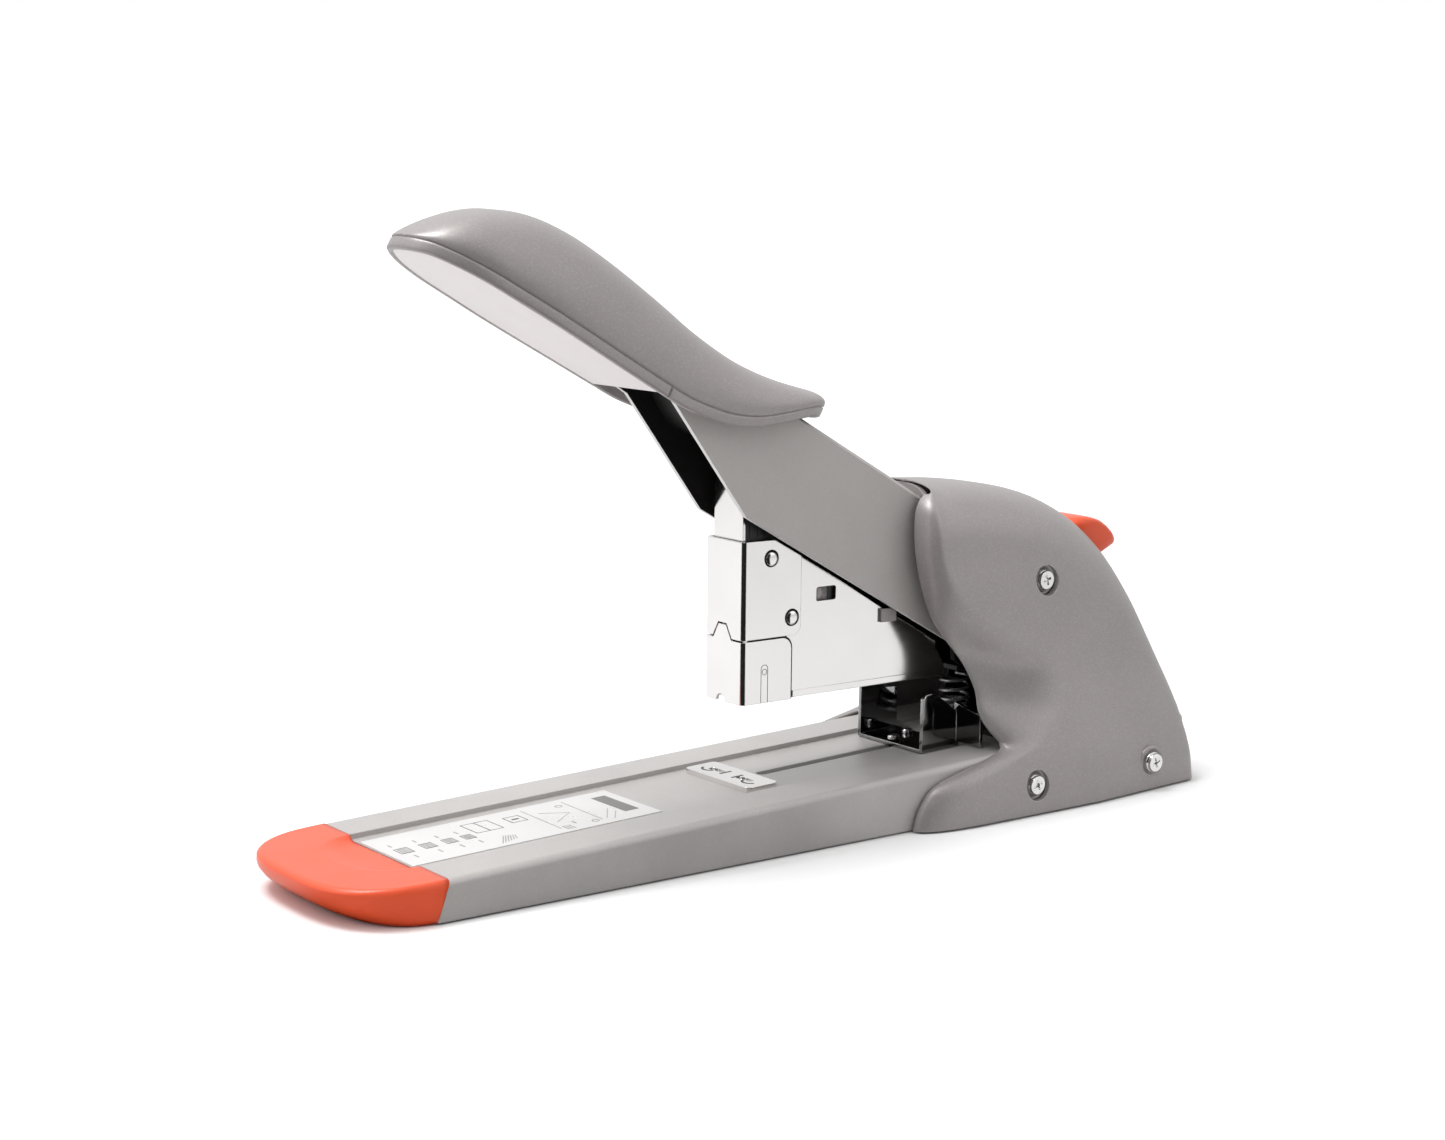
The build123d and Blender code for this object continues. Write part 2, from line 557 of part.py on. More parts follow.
# ================================================================ head
# ---- magazine_frame: two side plates joined by a web above the staple drawer
FRAME_OUTLINE = [(102.8, 35.1), (174.0, 35.1), (172.5, 39.5), (169.2, 43.8), (164.6, 48.1),
                 (159.5, 51.1), (150.6, 55.9), (135.2, 65.2), (120.9, 73.2), (112.1, 77.9),
                 (102.8, 77.9)]
FRAME_IN = FRAME_HALF - FRAME_SHEET
WINDOW = (127.0, 133.6, 60.2, 64.0)
with BuildPart() as magazine_frame:
    with BuildSketch(Plane.XZ.offset(FRAME_IN)):
        Polygon(*side(FRAME_OUTLINE), align=None)
        with Locations((st(sum(WINDOW[:2]) / 2), sum(WINDOW[2:]) / 2)):
            RectangleRounded(WINDOW[1] - WINDOW[0], WINDOW[3] - WINDOW[2], 0.6,
                             mode=Mode.SUBTRACT)
    extrude(amount=FRAME_SHEET)
    mirror(about=Plane.XZ)
    with BuildSketch(Plane.XZ):
        Polygon(*side([(137, 52.6), (149, 52.6), (149, 53.8), (137, 53.8)]), align=None)
    extrude(amount=FRAME_IN, both=True)
magazine_frame.part.label = "magazine_frame"
export_step(magazine_frame.part, "parts/magazine_frame.step")

# ---- head_cover: bright wrap-round front plate
COVER_IN = COVER_HALF - COVER_SHEET
PARTING = 51.9
with BuildPart() as head_cover:
    with BuildSketch(Plane.XZ):
        Polygon(*side([(HEAD_FRONT, PARTING), (121.0, PARTING), (121.0, 73.1), (112.1, HEAD_TOP),
                       (HEAD_FRONT, HEAD_TOP)]), align=None)
    extrude(amount=COVER_HALF, both=True)
    corner = head_cover.edges().filter_by(Axis.Z).group_by(Axis.X)[0]
    fillet(corner, radius=1.4)
    low_corner = head_cover.edges().filter_by(Axis.Y).group_by(Axis.X)[-1].sort_by(Axis.Z)[0]
    fillet(low_corner, radius=2.6)
    with BuildSketch(Plane.XZ):
        Polygon(*side([(HEAD_FRONT + 1.0, 40), (130, 40), (130, 90), (HEAD_FRONT + 1.0, 90)]),
                align=None)
    extrude(amount=COVER_IN, both=True, mode=Mode.SUBTRACT)
    # notch that takes the drawer's locating tooth
    with BuildSketch(Plane.YZ.offset(st(HEAD_FRONT - 1))):
        Polygon((-3.5, 50), (-3.5, 51.9), (-1.2, 55.9), (2.2, 55.9), (4.5, 51.9), (4.5, 50),
                align=None)
    extrude(amount=3, mode=Mode.SUBTRACT)
head_cover.part.label = "head_cover"
export_step(head_cover.part, "parts/head_cover.step")

# ---- cover_rivets: two flat heads each side
RIVETS = [(110.9, 73.2), (118.0, 56.9)]
with BuildPart() as cover_rivets:
    with BuildSketch(Plane.XZ.offset(COVER_HALF)):
        with Locations(*side(RIVETS)):
            Circle(1.9)
    extrude(amount=0.6)
    mirror(about=Plane.XZ)
cover_rivets.part.label = "cover_rivets"
export_step(cover_rivets.part, "parts/cover_rivets.step")

# ---- head_link: blackened steel fork that carries the head on the shaft
LINK = (4.8, 6.2)
with BuildPart() as head_link:
    with BuildSketch(Plane.XZ.offset(LINK[0])):
        Polygon(*side([(128, 55), (128, 66), (150, 56), (170, 52.5), (200, 51.5), (207, 51.5),
                       (213.5, 48.5), (216, 42), (213.5, 35.5), (207, 32.6), (182, 35.0),
                       (178, 38.5), (176.5, 50.2), (150, 54.4)]), align=None)
        with Locations(*side([PIVOT])):
            Circle(SHAFT_R + 0.06, mode=Mode.SUBTRACT)
    extrude(amount=LINK[1] - LINK[0])
    mirror(about=Plane.XZ)
    with BuildSketch(Plane.XZ):
        Polygon(*side([(179, 35.4), (190, 34.5), (190, 35.9), (179, 36.8)]), align=None)
    extrude(amount=LINK[1], both=True)
head_link.part.label = "head_link"
export_step(head_link.part, "parts/head_link.step")

# ---- driver_carrier and driver_blade
CARRIER_TOP = 96.2
with BuildPart() as driver_carrier:
    with BuildSketch(Plane.XZ):
        Polygon(*side([(103.7, 69), (121.5, 83), (121.5, CARRIER_TOP), (106, CARRIER_TOP),
                       (104.9, 97), (103.7, 97)]), align=None)
    extrude(amount=DRIVER_HALF, both=True)
    with BuildSketch(Plane.XZ):
        Polygon(*side([(104.9, 60), (130, 60), (130, 100), (104.9, 100)]), align=None)
    extrude(amount=DRIVER_HALF - 1.2, both=True, mode=Mode.SUBTRACT)
driver_carrier.part.label = "driver_carrier"
export_step(driver_carrier.part, "parts/driver_carrier.step")

with BuildPart() as driver_blade:
    with BuildSketch(Plane.XZ):
        Polygon(*side([(102.85, 52.5), (103.65, 52.5), (103.65, 84), (102.85, 84)]), align=None)
    extrude(amount=DRIVER_HALF, both=True)
driver_blade.part.label = "driver_blade"
export_step(driver_blade.part, "parts/driver_blade.step")

# ================================================================ staple drawer
DRAWER_TOP = PARTING - GAP
with BuildPart() as drawer_front:
    with BuildSketch(Plane.XZ):
        Polygon(*side([(HEAD_FRONT, HEAD_BOTTOM), (118.0, HEAD_BOTTOM), (118.0, DRAWER_TOP - 0.4),
                       (HEAD_FRONT, DRAWER_TOP)]), align=None)
    extrude(amount=COVER_HALF, both=True)
    fillet(drawer_front.edges().filter_by(Axis.Z).group_by(Axis.X)[0], radius=1.4)
    rear_top = drawer_front.edges().filter_by(Axis.Y).group_by(Axis.X)[-1].sort_by(Axis.Z)[-1]
    fillet(rear_top, radius=3.0)
    with BuildSketch(Plane.XZ):
        Polygon(*side([(HEAD_FRONT + 1.0, 30), (130, 30), (130, 60), (HEAD_FRONT + 1.0, 60)]),
                align=None)
    extrude(amount=COVER_IN, both=True, mode=Mode.SUBTRACT)
    with BuildSketch(Plane.YZ.offset(st(HEAD_FRONT))):
        Polygon((-3.5 + GAP, DRAWER_TOP - 1), (-3.5 + GAP, DRAWER_TOP), (-1.2 + GAP, 55.6),
                (2.2 - GAP, 55.6), (4.5 - GAP, DRAWER_TOP), (4.5 - GAP, DRAWER_TOP - 1),
                align=None)
    extrude(amount=1.0)
    with BuildSketch(Plane.YZ.offset(st(HEAD_FRONT - 1))):
        with Locations((0.9, HEAD_BOTTOM)):
            Circle(1.9)
    extrude(amount=3, mode=Mode.SUBTRACT)
    # feet that join the front to the rail
    with BuildSketch(Plane.XZ.offset(FRAME_HALF + 0.05)):
        Polygon(*side([(104, 34.9), (117, 34.9), (117, 36), (104, 36)]), align=None)
    extrude(amount=0.1)
drawer_front.part.label = "drawer_front"
export_step(drawer_front.part, "parts/drawer_front.step")

CORE_TOP = 49.2
CORE_HALF = 5.4
CORE_WALL = 1.0
with BuildPart() as drawer_rail:
    with BuildSketch(Plane.XZ):
        Polygon(*side([(105.0, 35.1), (171.5, 35.1), (171.5, 36.1), (105.0, 36.1)]), align=None)
    extrude(amount=FRAME_IN - 0.1, both=True)
    with BuildSketch(Plane.XZ):
        Polygon(*side([(103.9, 36.1), (171.5, 36.1), (171.5, CORE_TOP), (103.9, CORE_TOP)]),
                align=None)
    extrude(amount=CORE_HALF, both=True)
    with BuildSketch(Plane.XZ):
        Polygon(*side([(106.5, 37.1), (170.5, 37.1), (170.5, 60), (106.5, 60)]), align=None)
    extrude(amount=CORE_HALF - CORE_WALL, both=True, mode=Mode.SUBTRACT)
drawer_rail.part.label = "drawer_rail"
export_step(drawer_rail.part, "parts/drawer_rail.step")

# ---- staple_strip: glued staples astride the rail
STRIP = (103.95, 129.9)
STAPLE_LEG = 13.4
STAPLE_WIRE = 0.95
STAPLE_TOP = CORE_TOP + STAPLE_WIRE + 0.1
with BuildPart() as staple_strip:
    with BuildSketch(Plane.YZ.offset(st(STRIP[0]))):
        with Locations((0, STAPLE_TOP)):
            Rectangle(2 * STAPLE_HALF, STAPLE_LEG, align=(Align.CENTER, Align.MAX))
        with Locations((0, STAPLE_TOP - STAPLE_WIRE)):
            Rectangle(2 * (STAPLE_HALF - STAPLE_WIRE), STAPLE_LEG,
                      align=(Align.CENTER, Align.MAX), mode=Mode.SUBTRACT)
    extrude(amount=STRIP[1] - STRIP[0])
staple_strip.part.label = "staple_strip"
export_step(staple_strip.part, "parts/staple_strip.step")

# ---- staple_pusher, its guide rod and its spring
ROD_Z = 43.0
ROD_R = 1.2
with BuildPart() as staple_pusher:
    with BuildSketch(Plane.YZ.offset(st(130.1))):
        with Locations((0, 43.3)):
            Rectangle(2 * 6.35, 14.2)
        with Locations((0, 42.3)):
            Rectangle(2 * (CORE_HALF + 0.1), 14.2, mode=Mode.SUBTRACT)
        with Locations((0, 44.2)):
            Rectangle(2 * 4.2, 12.0)
        with Locations((0, ROD_Z)):
            Circle(ROD_R + 0.08, mode=Mode.SUBTRACT)
    extrude(amount=8)
staple_pusher.part.label = "staple_pusher"
export_step(staple_pusher.part, "parts/staple_pusher.step")

with BuildPart() as pusher_rod:
    with BuildSketch(Plane.YZ.offset(st(106.5))):
        with Locations((0, ROD_Z)):
            Circle(ROD_R)
    extrude(amount=64.0)
pusher_rod.part.label = "pusher_rod"
export_step(pusher_rod.part, "parts/pusher_rod.step")

with BuildPart() as pusher_spring:
    with BuildSketch(Plane.YZ.offset(st(138.4))):
        with Locations((0, ROD_Z)):
            Circle(2.4)
            Circle(1.5, mode=Mode.SUBTRACT)
    extrude(amount=31.8)
pusher_spring.part.label = "pusher_spring"
export_step(pusher_spring.part, "parts/pusher_spring.step")

# ================================================================ release button
with BuildPart() as release_button:
    with BuildSketch(BUTTON_PLANE.offset(-7)):
        RectangleRounded(*BUTTON_SIZE, 2.6)
    extrude(amount=16.0)
    with BuildSketch(Plane.XZ):
        Polygon(*side([(200, 60), (212, 80), (221.5, 77.4), (230.5, 75.2), (236.5, 71.6),
                       (240.5, 66.2), (242.5, 58.0), (236, 50)]), align=None)
    extrude(amount=20, both=True, mode=Mode.INTERSECT)
release_button.part.label = "release_button"
export_step(release_button.part, "parts/release_button.step")

with BuildPart() as release_rod:
    with BuildSketch(BUTTON_PLANE.offset(-7)):
        Circle(1.5)
    extrude(amount=-36)
release_rod.part.label = "release_rod"
export_step(release_rod.part, "parts/release_rod.step")

with BuildPart() as button_spring:
    with BuildSketch(BUTTON_PLANE.offset(-7.2)):
        Circle(3.0)
        Circle(1.9, mode=Mode.SUBTRACT)
    extrude(amount=-9)
button_spring.part.label = "button_spring"
export_step(button_spring.part, "parts/button_spring.step")
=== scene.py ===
import json
import math

import bmesh
import bpy
from mathutils import Matrix, Vector


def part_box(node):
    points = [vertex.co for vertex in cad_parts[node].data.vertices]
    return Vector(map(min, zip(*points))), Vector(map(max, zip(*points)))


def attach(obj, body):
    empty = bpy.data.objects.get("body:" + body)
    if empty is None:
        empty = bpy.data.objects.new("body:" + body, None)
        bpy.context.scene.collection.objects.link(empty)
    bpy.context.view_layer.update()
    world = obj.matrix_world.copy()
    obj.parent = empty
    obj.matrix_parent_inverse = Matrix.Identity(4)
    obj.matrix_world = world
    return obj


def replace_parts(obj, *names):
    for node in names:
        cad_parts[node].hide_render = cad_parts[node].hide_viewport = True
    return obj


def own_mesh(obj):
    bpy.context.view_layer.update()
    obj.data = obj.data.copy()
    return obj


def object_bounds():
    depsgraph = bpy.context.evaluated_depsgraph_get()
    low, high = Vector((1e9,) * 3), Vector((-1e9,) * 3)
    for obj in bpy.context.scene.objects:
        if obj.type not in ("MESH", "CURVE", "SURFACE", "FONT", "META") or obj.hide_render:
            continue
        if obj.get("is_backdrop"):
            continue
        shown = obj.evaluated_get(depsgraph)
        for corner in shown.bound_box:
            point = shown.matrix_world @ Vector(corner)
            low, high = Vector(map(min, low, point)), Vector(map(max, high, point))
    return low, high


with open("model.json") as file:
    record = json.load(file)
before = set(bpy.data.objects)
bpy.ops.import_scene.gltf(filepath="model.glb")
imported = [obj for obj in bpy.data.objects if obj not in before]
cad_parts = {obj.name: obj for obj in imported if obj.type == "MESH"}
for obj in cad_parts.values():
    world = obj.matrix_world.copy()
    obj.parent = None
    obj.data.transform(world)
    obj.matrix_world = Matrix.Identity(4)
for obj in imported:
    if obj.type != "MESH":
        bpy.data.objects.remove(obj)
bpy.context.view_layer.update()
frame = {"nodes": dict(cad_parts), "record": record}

MM = 0.001
# Stations along the stapler are measured in millimetres behind the nose joint.
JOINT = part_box("anvil_plate")[0].x / MM - 99.4
RAIL_FRONT = 10.54
RAIL_RISE = math.tan(math.radians(2.15))


def at(station, y, z):
    """Row point in metres of a station, width and height in millimetres."""
    return Vector(((JOINT + station) * MM, y * MM, z * MM))


def rail(station, lift=0.0):
    """Height of the base's top face at a station, in millimetres."""
    return RAIL_FRONT + RAIL_RISE * station + lift


# ---- camera
SENSOR = 36.0
LENS = 61.40
TURN = 0.6472          # heading, radians from +Y towards +X
TILT = 0.1575          # looking down
ROLL = 0.0109
CAMERA_AT = Vector((-0.39618, -0.50767, 0.17101))

forward = Vector((math.sin(TURN) * math.cos(TILT), math.cos(TURN) * math.cos(TILT),
                  -math.sin(TILT)))
level = Vector((math.cos(TURN), -math.sin(TURN), 0))
down = forward.cross(level)
cam_x = math.cos(ROLL) * level - math.sin(ROLL) * down
cam_y = -(math.sin(ROLL) * level + math.cos(ROLL) * down)
turned = Matrix((cam_x, cam_y, -forward)).transposed().to_4x4()
camera_data = bpy.data.cameras.new("camera")
camera_data.sensor_width = SENSOR
camera_data.lens = LENS
camera = bpy.data.objects.new("camera", camera_data)
bpy.context.scene.collection.objects.link(camera)
camera.matrix_world = Matrix.Translation(CAMERA_AT) @ turned
bpy.context.scene.camera = camera
bpy.context.scene.view_settings.view_transform = "Standard"


# ---- node helpers
class Nodes:
    """Short calls for building a node tree."""

    def __init__(self, tree, keep=False):
        self.tree = tree
        if not keep:
            self.tree.nodes.clear()

    def add(self, kind, **values):
        node = self.tree.nodes.new(kind)
        for key, value in values.items():
            setattr(node, key, value)
        return node

    def link(self, source, target):
        self.tree.links.new(source, target)

    def put(self, target, value):
        """Links a socket, or sets a plain value."""
        if isinstance(value, bpy.types.NodeSocket):
            self.link(value, target)
        else:
            target.default_value = value

    def math(self, operation, a, b=0.0, clamp=False):
        node = self.add("ShaderNodeMath", operation=operation, use_clamp=clamp)
        self.put(node.inputs[0], a)
        self.put(node.inputs[1], b)
        return node.outputs[0]

    def mix(self, factor, a, b):
        node = self.add("ShaderNodeMix", data_type="RGBA")
        self.put(node.inputs[0], factor)
        self.put(node.inputs[6], a)
        self.put(node.inputs[7], b)
        return node.outputs[2]

    def ramp(self, value, low, high, to_low=0.0, to_high=1.0):
        node = self.add("ShaderNodeMapRange")
        self.put(node.inputs[0], value)
        for index, number in zip((1, 2, 3, 4), (low, high, to_low, to_high)):
            node.inputs[index].default_value = number
        return node.outputs[0]

    def noise(self, vector, scale, detail=3.0, rough=0.55):
        node = self.add("ShaderNodeTexNoise")
        self.link(vector, node.inputs["Vector"])
        node.inputs["Scale"].default_value = scale
        node.inputs["Detail"].default_value = detail
        node.inputs["Roughness"].default_value = rough
        return node.outputs[0]

    def cells(self, vector, scale):
        node = self.add("ShaderNodeTexVoronoi")
        self.link(vector, node.inputs["Vector"])
        node.inputs["Scale"].default_value = scale
        return node


def grey(value):
    return (value, value, value, 1.0)


def colour(rgb):
    return (rgb[0], rgb[1], rgb[2], 1.0)


COAT_ROUGH = 0.2


def material(name, base, metallic=0.0, rough=0.4, rough_swing=0.06, rough_scale=90.0,
             tone_swing=0.04, flake=0.0, flake_scale=3500.0, bump=0.0, bump_scale=1800.0,
             scratch=0.0, edge=None, edge_radius=0.0003, coat=0.0, specular=0.5, paint=None):
    """Procedural surface: tone and roughness drift, flakes, fine bump, scratches, a lighter
    colour along edges.

    paint(nodes, coords, tone) may recolour the tone before it reaches the shader.
    """
    made = bpy.data.materials.new(name)
    made.use_nodes = True
    n = Nodes(made.node_tree)
    coords = n.add("ShaderNodeTexCoord").outputs["Object"]
    shader = n.add("ShaderNodeBsdfPrincipled")
    output = n.add("ShaderNodeOutputMaterial")
    n.link(shader.outputs[0], output.inputs[0])
    drift = n.noise(coords, rough_scale, 4.0)
    fine = n.noise(coords, bump_scale, 2.0)
    dark = tuple(v * (1 - tone_swing) for v in base)
    light = tuple(min(1.0, v * (1 + tone_swing)) for v in base)
    tone = n.mix(n.ramp(drift, 0.35, 0.65), colour(dark), colour(light))
    if flake > 0:
        spark = n.cells(coords, flake_scale)
        pick = n.add("ShaderNodeSeparateColor")
        n.link(spark.outputs["Color"], pick.inputs[0])
        bright = n.ramp(pick.outputs[0], 0.82, 1.0, 0.0, flake)
        dim = n.ramp(pick.outputs[1], 0.75, 1.0, 0.0, flake * 0.6)
        tone = n.mix(bright, tone, grey(0.95))
        tone = n.mix(dim, tone, colour(tuple(v * 0.45 for v in base)))
    if paint:
        tone = paint(n, coords, tone)
    rough_value = n.ramp(drift, 0.3, 0.7, max(0.02, rough - rough_swing), rough + rough_swing)
    if scratch > 0:
        stretch = n.add("ShaderNodeMapping")
        n.link(coords, stretch.inputs[0])
        stretch.inputs["Scale"].default_value = (0.05, 1.0, 1.0)
        lines = n.noise(stretch.outputs[0], 2600.0, 2.0, 0.6)
        rough_value = n.math("ADD", rough_value, n.ramp(lines, 0.45, 0.75, 0.0, scratch))
    bevel = n.add("ShaderNodeBevel", samples=6)
    bevel.inputs["Radius"].default_value = edge_radius
    if edge is not None:
        geometry = n.add("ShaderNodeNewGeometry")
        dot = n.add("ShaderNodeVectorMath", operation="DOT_PRODUCT")
        n.link(bevel.outputs[0], dot.inputs[0])
        n.link(geometry.outputs["Normal"], dot.inputs[1])
        broken = n.noise(coords, 700.0, 3.0)
        limit = n.math("MULTIPLY", n.ramp(dot.outputs["Value"], 0.985, 0.90),
                       n.ramp(broken, 0.30, 0.60), clamp=True)
        tone = n.mix(limit, tone, colour(edge))
    n.put(shader.inputs["Base Color"], tone)
    n.put(shader.inputs["Roughness"], rough_value)
    shader.inputs["Metallic"].default_value = metallic
    shader.inputs["Specular IOR Level"].default_value = specular
    shader.inputs["Coat Weight"].default_value = coat
    shader.inputs["Coat Roughness"].default_value = COAT_ROUGH
    normal = bevel.outputs[0]
    if bump > 0:
        raised = n.add("ShaderNodeBump")
        raised.inputs["Strength"].default_value = 1.0
        raised.inputs["Distance"].default_value = bump
        n.link(fine, raised.inputs["Height"])
        n.link(normal, raised.inputs["Normal"])
        normal = raised.outputs[0]
    n.link(normal, shader.inputs["Normal"])
    return made


ARM_INNER = 9.25 * MM      # arms' inner faces


def arm_shade_and_highlight(n, coords, tone):
    """Painted shade and highlight: the inside of the arms is painted near black except faces
    turned up, and the cut edges are painted light grey as a highlight.
    """
    split = n.add("ShaderNodeSeparateXYZ")
    n.link(coords, split.inputs[0])
    width = n.math("ABSOLUTE", split.outputs[1])
    inside = n.math("LESS_THAN", width, ARM_INNER)
    facing = n.add("ShaderNodeTexCoord").outputs["Normal"]
    part = n.add("ShaderNodeSeparateXYZ")
    n.link(facing, part.inputs[0])
    sideways = n.math("ABSOLUTE", part.outputs[1])
    # painted highlight: edge faces that look neither sideways nor up are painted light grey
    cut = n.math("MULTIPLY", n.math("LESS_THAN", sideways, 0.3),
                 n.math("LESS_THAN", part.outputs[2], 0.2))
    tone = n.mix(cut, tone, grey(0.86))
    # painted shade: inside the channel, faces not turned up are painted near black
    lifted = n.math("ADD", n.math("MULTIPLY", part.outputs[0], 0.49),
                    n.math("MULTIPLY", part.outputs[2], 0.87))
    inside = n.math("MULTIPLY", inside, n.math("LESS_THAN", lifted, 0.5))
    return n.mix(inside, tone, grey(0.012))


M = {
    "base_paint": material("satin_grey_paint", (0.50, 0.48, 0.47), 0.12, 0.40, 0.05, 60, 0.04,
                           flake=0.10, bump=0.000012, edge=(0.62, 0.60, 0.59)),
    # the arms' grey paint, with painted shade inside their channel and a painted highlight on
    # their cut edges
    "arm_paint": material("satin_arm_paint_with_painted_light", (0.475, 0.448, 0.437), 0.10, 0.46, 0.05, 60, 0.03,
                          flake=0.08, bump=0.000012, paint=arm_shade_and_highlight),
    "arm_plain": material("satin_arm_plain", (0.475, 0.448, 0.437), 0.10, 0.46, 0.05, 60, 0.03,
                          flake=0.08, bump=0.000012, edge_radius=0.0),
    "nickel": material("bright_nickel", (0.87, 0.85, 0.84), 1.0, 0.13, 0.05, 45, 0.03,
                       scratch=0.05, bump=0.000002, bump_scale=400, edge_radius=0.00025),
    "dark_nickel": material("black_nickel", (0.30, 0.30, 0.30), 1.0, 0.07, 0.04, 60, 0.05,
                            edge=(0.9, 0.9, 0.9), edge_radius=0.0003),
    "spring_steel": material("spring_steel", (0.55, 0.55, 0.56), 1.0, 0.28, 0.08, 120, 0.06,
                             scratch=0.08),
    # blackened steel, also used for painted shade: strips and lines in the head's gaps, the rivet
    # holes and the anvil's grooves
    "black_steel": material("blackened_steel_and_painted_shade", (0.018, 0.018, 0.018), 0.3, 0.35, 0.08, 80, 0.2,
                            bump=0.000006, edge=(0.12, 0.12, 0.12)),
    "silver_plastic": material("silver_flake_plastic", (0.355, 0.33, 0.325), 0.30, 0.38, 0.05,
                               50, 0.03, flake=0.16, flake_scale=5200, bump=0.00001,
                               bump_scale=2600, edge=(0.55, 0.53, 0.52), edge_radius=0.0005),
    "black_plastic": material("black_moulding", (0.012, 0.012, 0.012), 0.0, 0.40, 0.06, 80,
                              0.2, bump=0.00001),
    "pale_plastic": material("pale_moulding", (0.93, 0.90, 0.905), 0.0, 0.42, 0.05, 70, 0.015,
                             bump=0.000015, bump_scale=1500),
    "orange_plastic": material("orange_moulding", (0.88, 0.10, 0.03), 0.0, 0.36, 0.05, 60,
                               0.04, bump=0.000012, bump_scale=2200, edge=(0.93, 0.25, 0.14),
                               edge_radius=0.0006, coat=0.15),
    "label_paper": material("printed_foil", (0.74, 0.73, 0.725), 0.1, 0.30, 0.05, 70, 0.02),
    "print_grey": material("print_grey", (0.10, 0.10, 0.10), 0.0, 0.45, 0.05, 200, 0.1),
    "print_mid": material("print_mid", (0.20, 0.195, 0.19), 0.0, 0.45, 0.05, 200, 0.1),
    "print_pale": material("print_pale", (0.42, 0.41, 0.405), 0.0, 0.45, 0.05, 200, 0.1),
    "screw_chrome": material("screw_chrome", (0.82, 0.81, 0.80), 1.0, 0.12, 0.06, 300, 0.05,
                             edge=(0.95, 0.95, 0.95), edge_radius=0.00015),
    "foot_rubber": material("black_rubber", (0.02, 0.02, 0.02), 0.0, 0.75, 0.1, 200, 0.2,
                            bump=0.00003, bump_scale=900),
}
for entry in frame["record"]["subparts"]:
    node = frame["nodes"][entry["node"]]
    if not node.material_slots:
        node.data.materials.append(M[entry["material_slot"]])
    for held in node.material_slots:
        held.material = M[entry["material_slot"]]

# ---- mesh helpers
SIDES = (("right", -1.0), ("left", 1.0))


def loose(name, verts, faces, weld=0.000001):
    """A linked mesh object in metres that rides on no body yet."""
    mesh = bpy.data.meshes.new(name)
    mesh.from_pydata([tuple(v) for v in verts], [], faces)
    work = bmesh.new()
    work.from_mesh(mesh)
    bmesh.ops.remove_doubles(work, verts=work.verts, dist=weld)
    bmesh.ops.recalc_face_normals(work, faces=work.faces)
    work.to_mesh(mesh)
    work.free()
    made = bpy.data.objects.new(name, mesh)
    bpy.context.scene.collection.objects.link(made)
    return made


def mesh_piece(name, verts, faces, slot, body, replaced=(), smooth=True):
    """Makes a mesh in metres, shades it and fixes it to a CAD body."""
    piece = loose(name, verts, faces, weld=0.000004)
    finish_piece(piece, slot, body, replaced, smooth)
    return piece


def finish_piece(piece, slot, body, replaced=(), smooth=True):
    """Shades a mesh object, gives it the slot's material, fixes it to a body and hides the nodes
    it replaces.
    """
    for polygon in piece.data.polygons:
        polygon.use_smooth = smooth
    piece.data.materials.clear()
    piece.data.materials.append(M[slot])
    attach(piece, body)
    if replaced:
        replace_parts(piece, *replaced)


def sharpen(piece, angle=35):
    """Smooth shading that stops at real edges."""
    piece.data.polygons.foreach_set("use_smooth", [True] * len(piece.data.polygons))
    piece.data.set_sharp_from_angle(angle=math.radians(angle))
    return piece


def apply_modifiers(piece):
    """Bakes the modifiers into the mesh."""
    bpy.context.view_layer.update()
    graph = bpy.context.evaluated_depsgraph_get()
    fresh = bpy.data.meshes.new_from_object(piece.evaluated_get(graph))
    piece.modifiers.clear()
    piece.data = fresh


def cut(piece, cutter):
    """Takes a throw-away object's shape out of a piece."""
    step = piece.modifiers.new("cut", "BOOLEAN")
    step.operation = "DIFFERENCE"
    step.object = cutter
    step.solver = "MANIFOLD"
    apply_modifiers(piece)
    bpy.data.objects.remove(cutter)


def follow(points, x):
    """Smooth curve through (x, y) points, read at x (cubic with limited slopes)."""
    if x <= points[0][0]:
        return points[0][1]
    if x >= points[-1][0]:
        return points[-1][1]
    slopes = []
    for i in range(len(points)):
        a, b = points[max(i - 1, 0)], points[min(i + 1, len(points) - 1)]
        slopes.append((b[1] - a[1]) / (b[0] - a[0]))
    for i in range(len(points) - 1):
        (x0, y0), (x1, y1) = points[i], points[i + 1]
        if x <= x1:
            span = x1 - x0
            rise = (y1 - y0) / span
            first, last = slopes[i], slopes[i + 1]
            limit = 3 * abs(rise)
            first = max(-limit, min(limit, first))
            last = max(-limit, min(limit, last))
            t = (x - x0) / span
            return ((2 * t ** 3 - 3 * t ** 2 + 1) * y0 + (t ** 3 - 2 * t ** 2 + t) * span * first
                    + (3 * t ** 2 - 2 * t ** 3) * y1 + (t ** 3 - t ** 2) * span * last)


def rows_to_faces(rows, columns, closed=True):
    """Quads between rings of equal length."""
    faces = []
    last = columns if closed else columns - 1
    for r in range(rows - 1):
        for c in range(last):
            d = (c + 1) % columns
            faces.append((r * columns + c, r * columns + d, (r + 1) * columns + d,
                          (r + 1) * columns + c))
    return faces


# ---- grip
SLOPE = math.radians(29.2)
PIVOT = (207.0, 42.0)


def on_arm(s, y, t):
    """Row point of handle coordinates: along the arms, across, away from them."""
    return at(PIVOT[0] + s * math.cos(SLOPE) + t * math.sin(SLOPE), y,
              PIVOT[1] - s * math.sin(SLOPE) + t * math.cos(SLOPE))


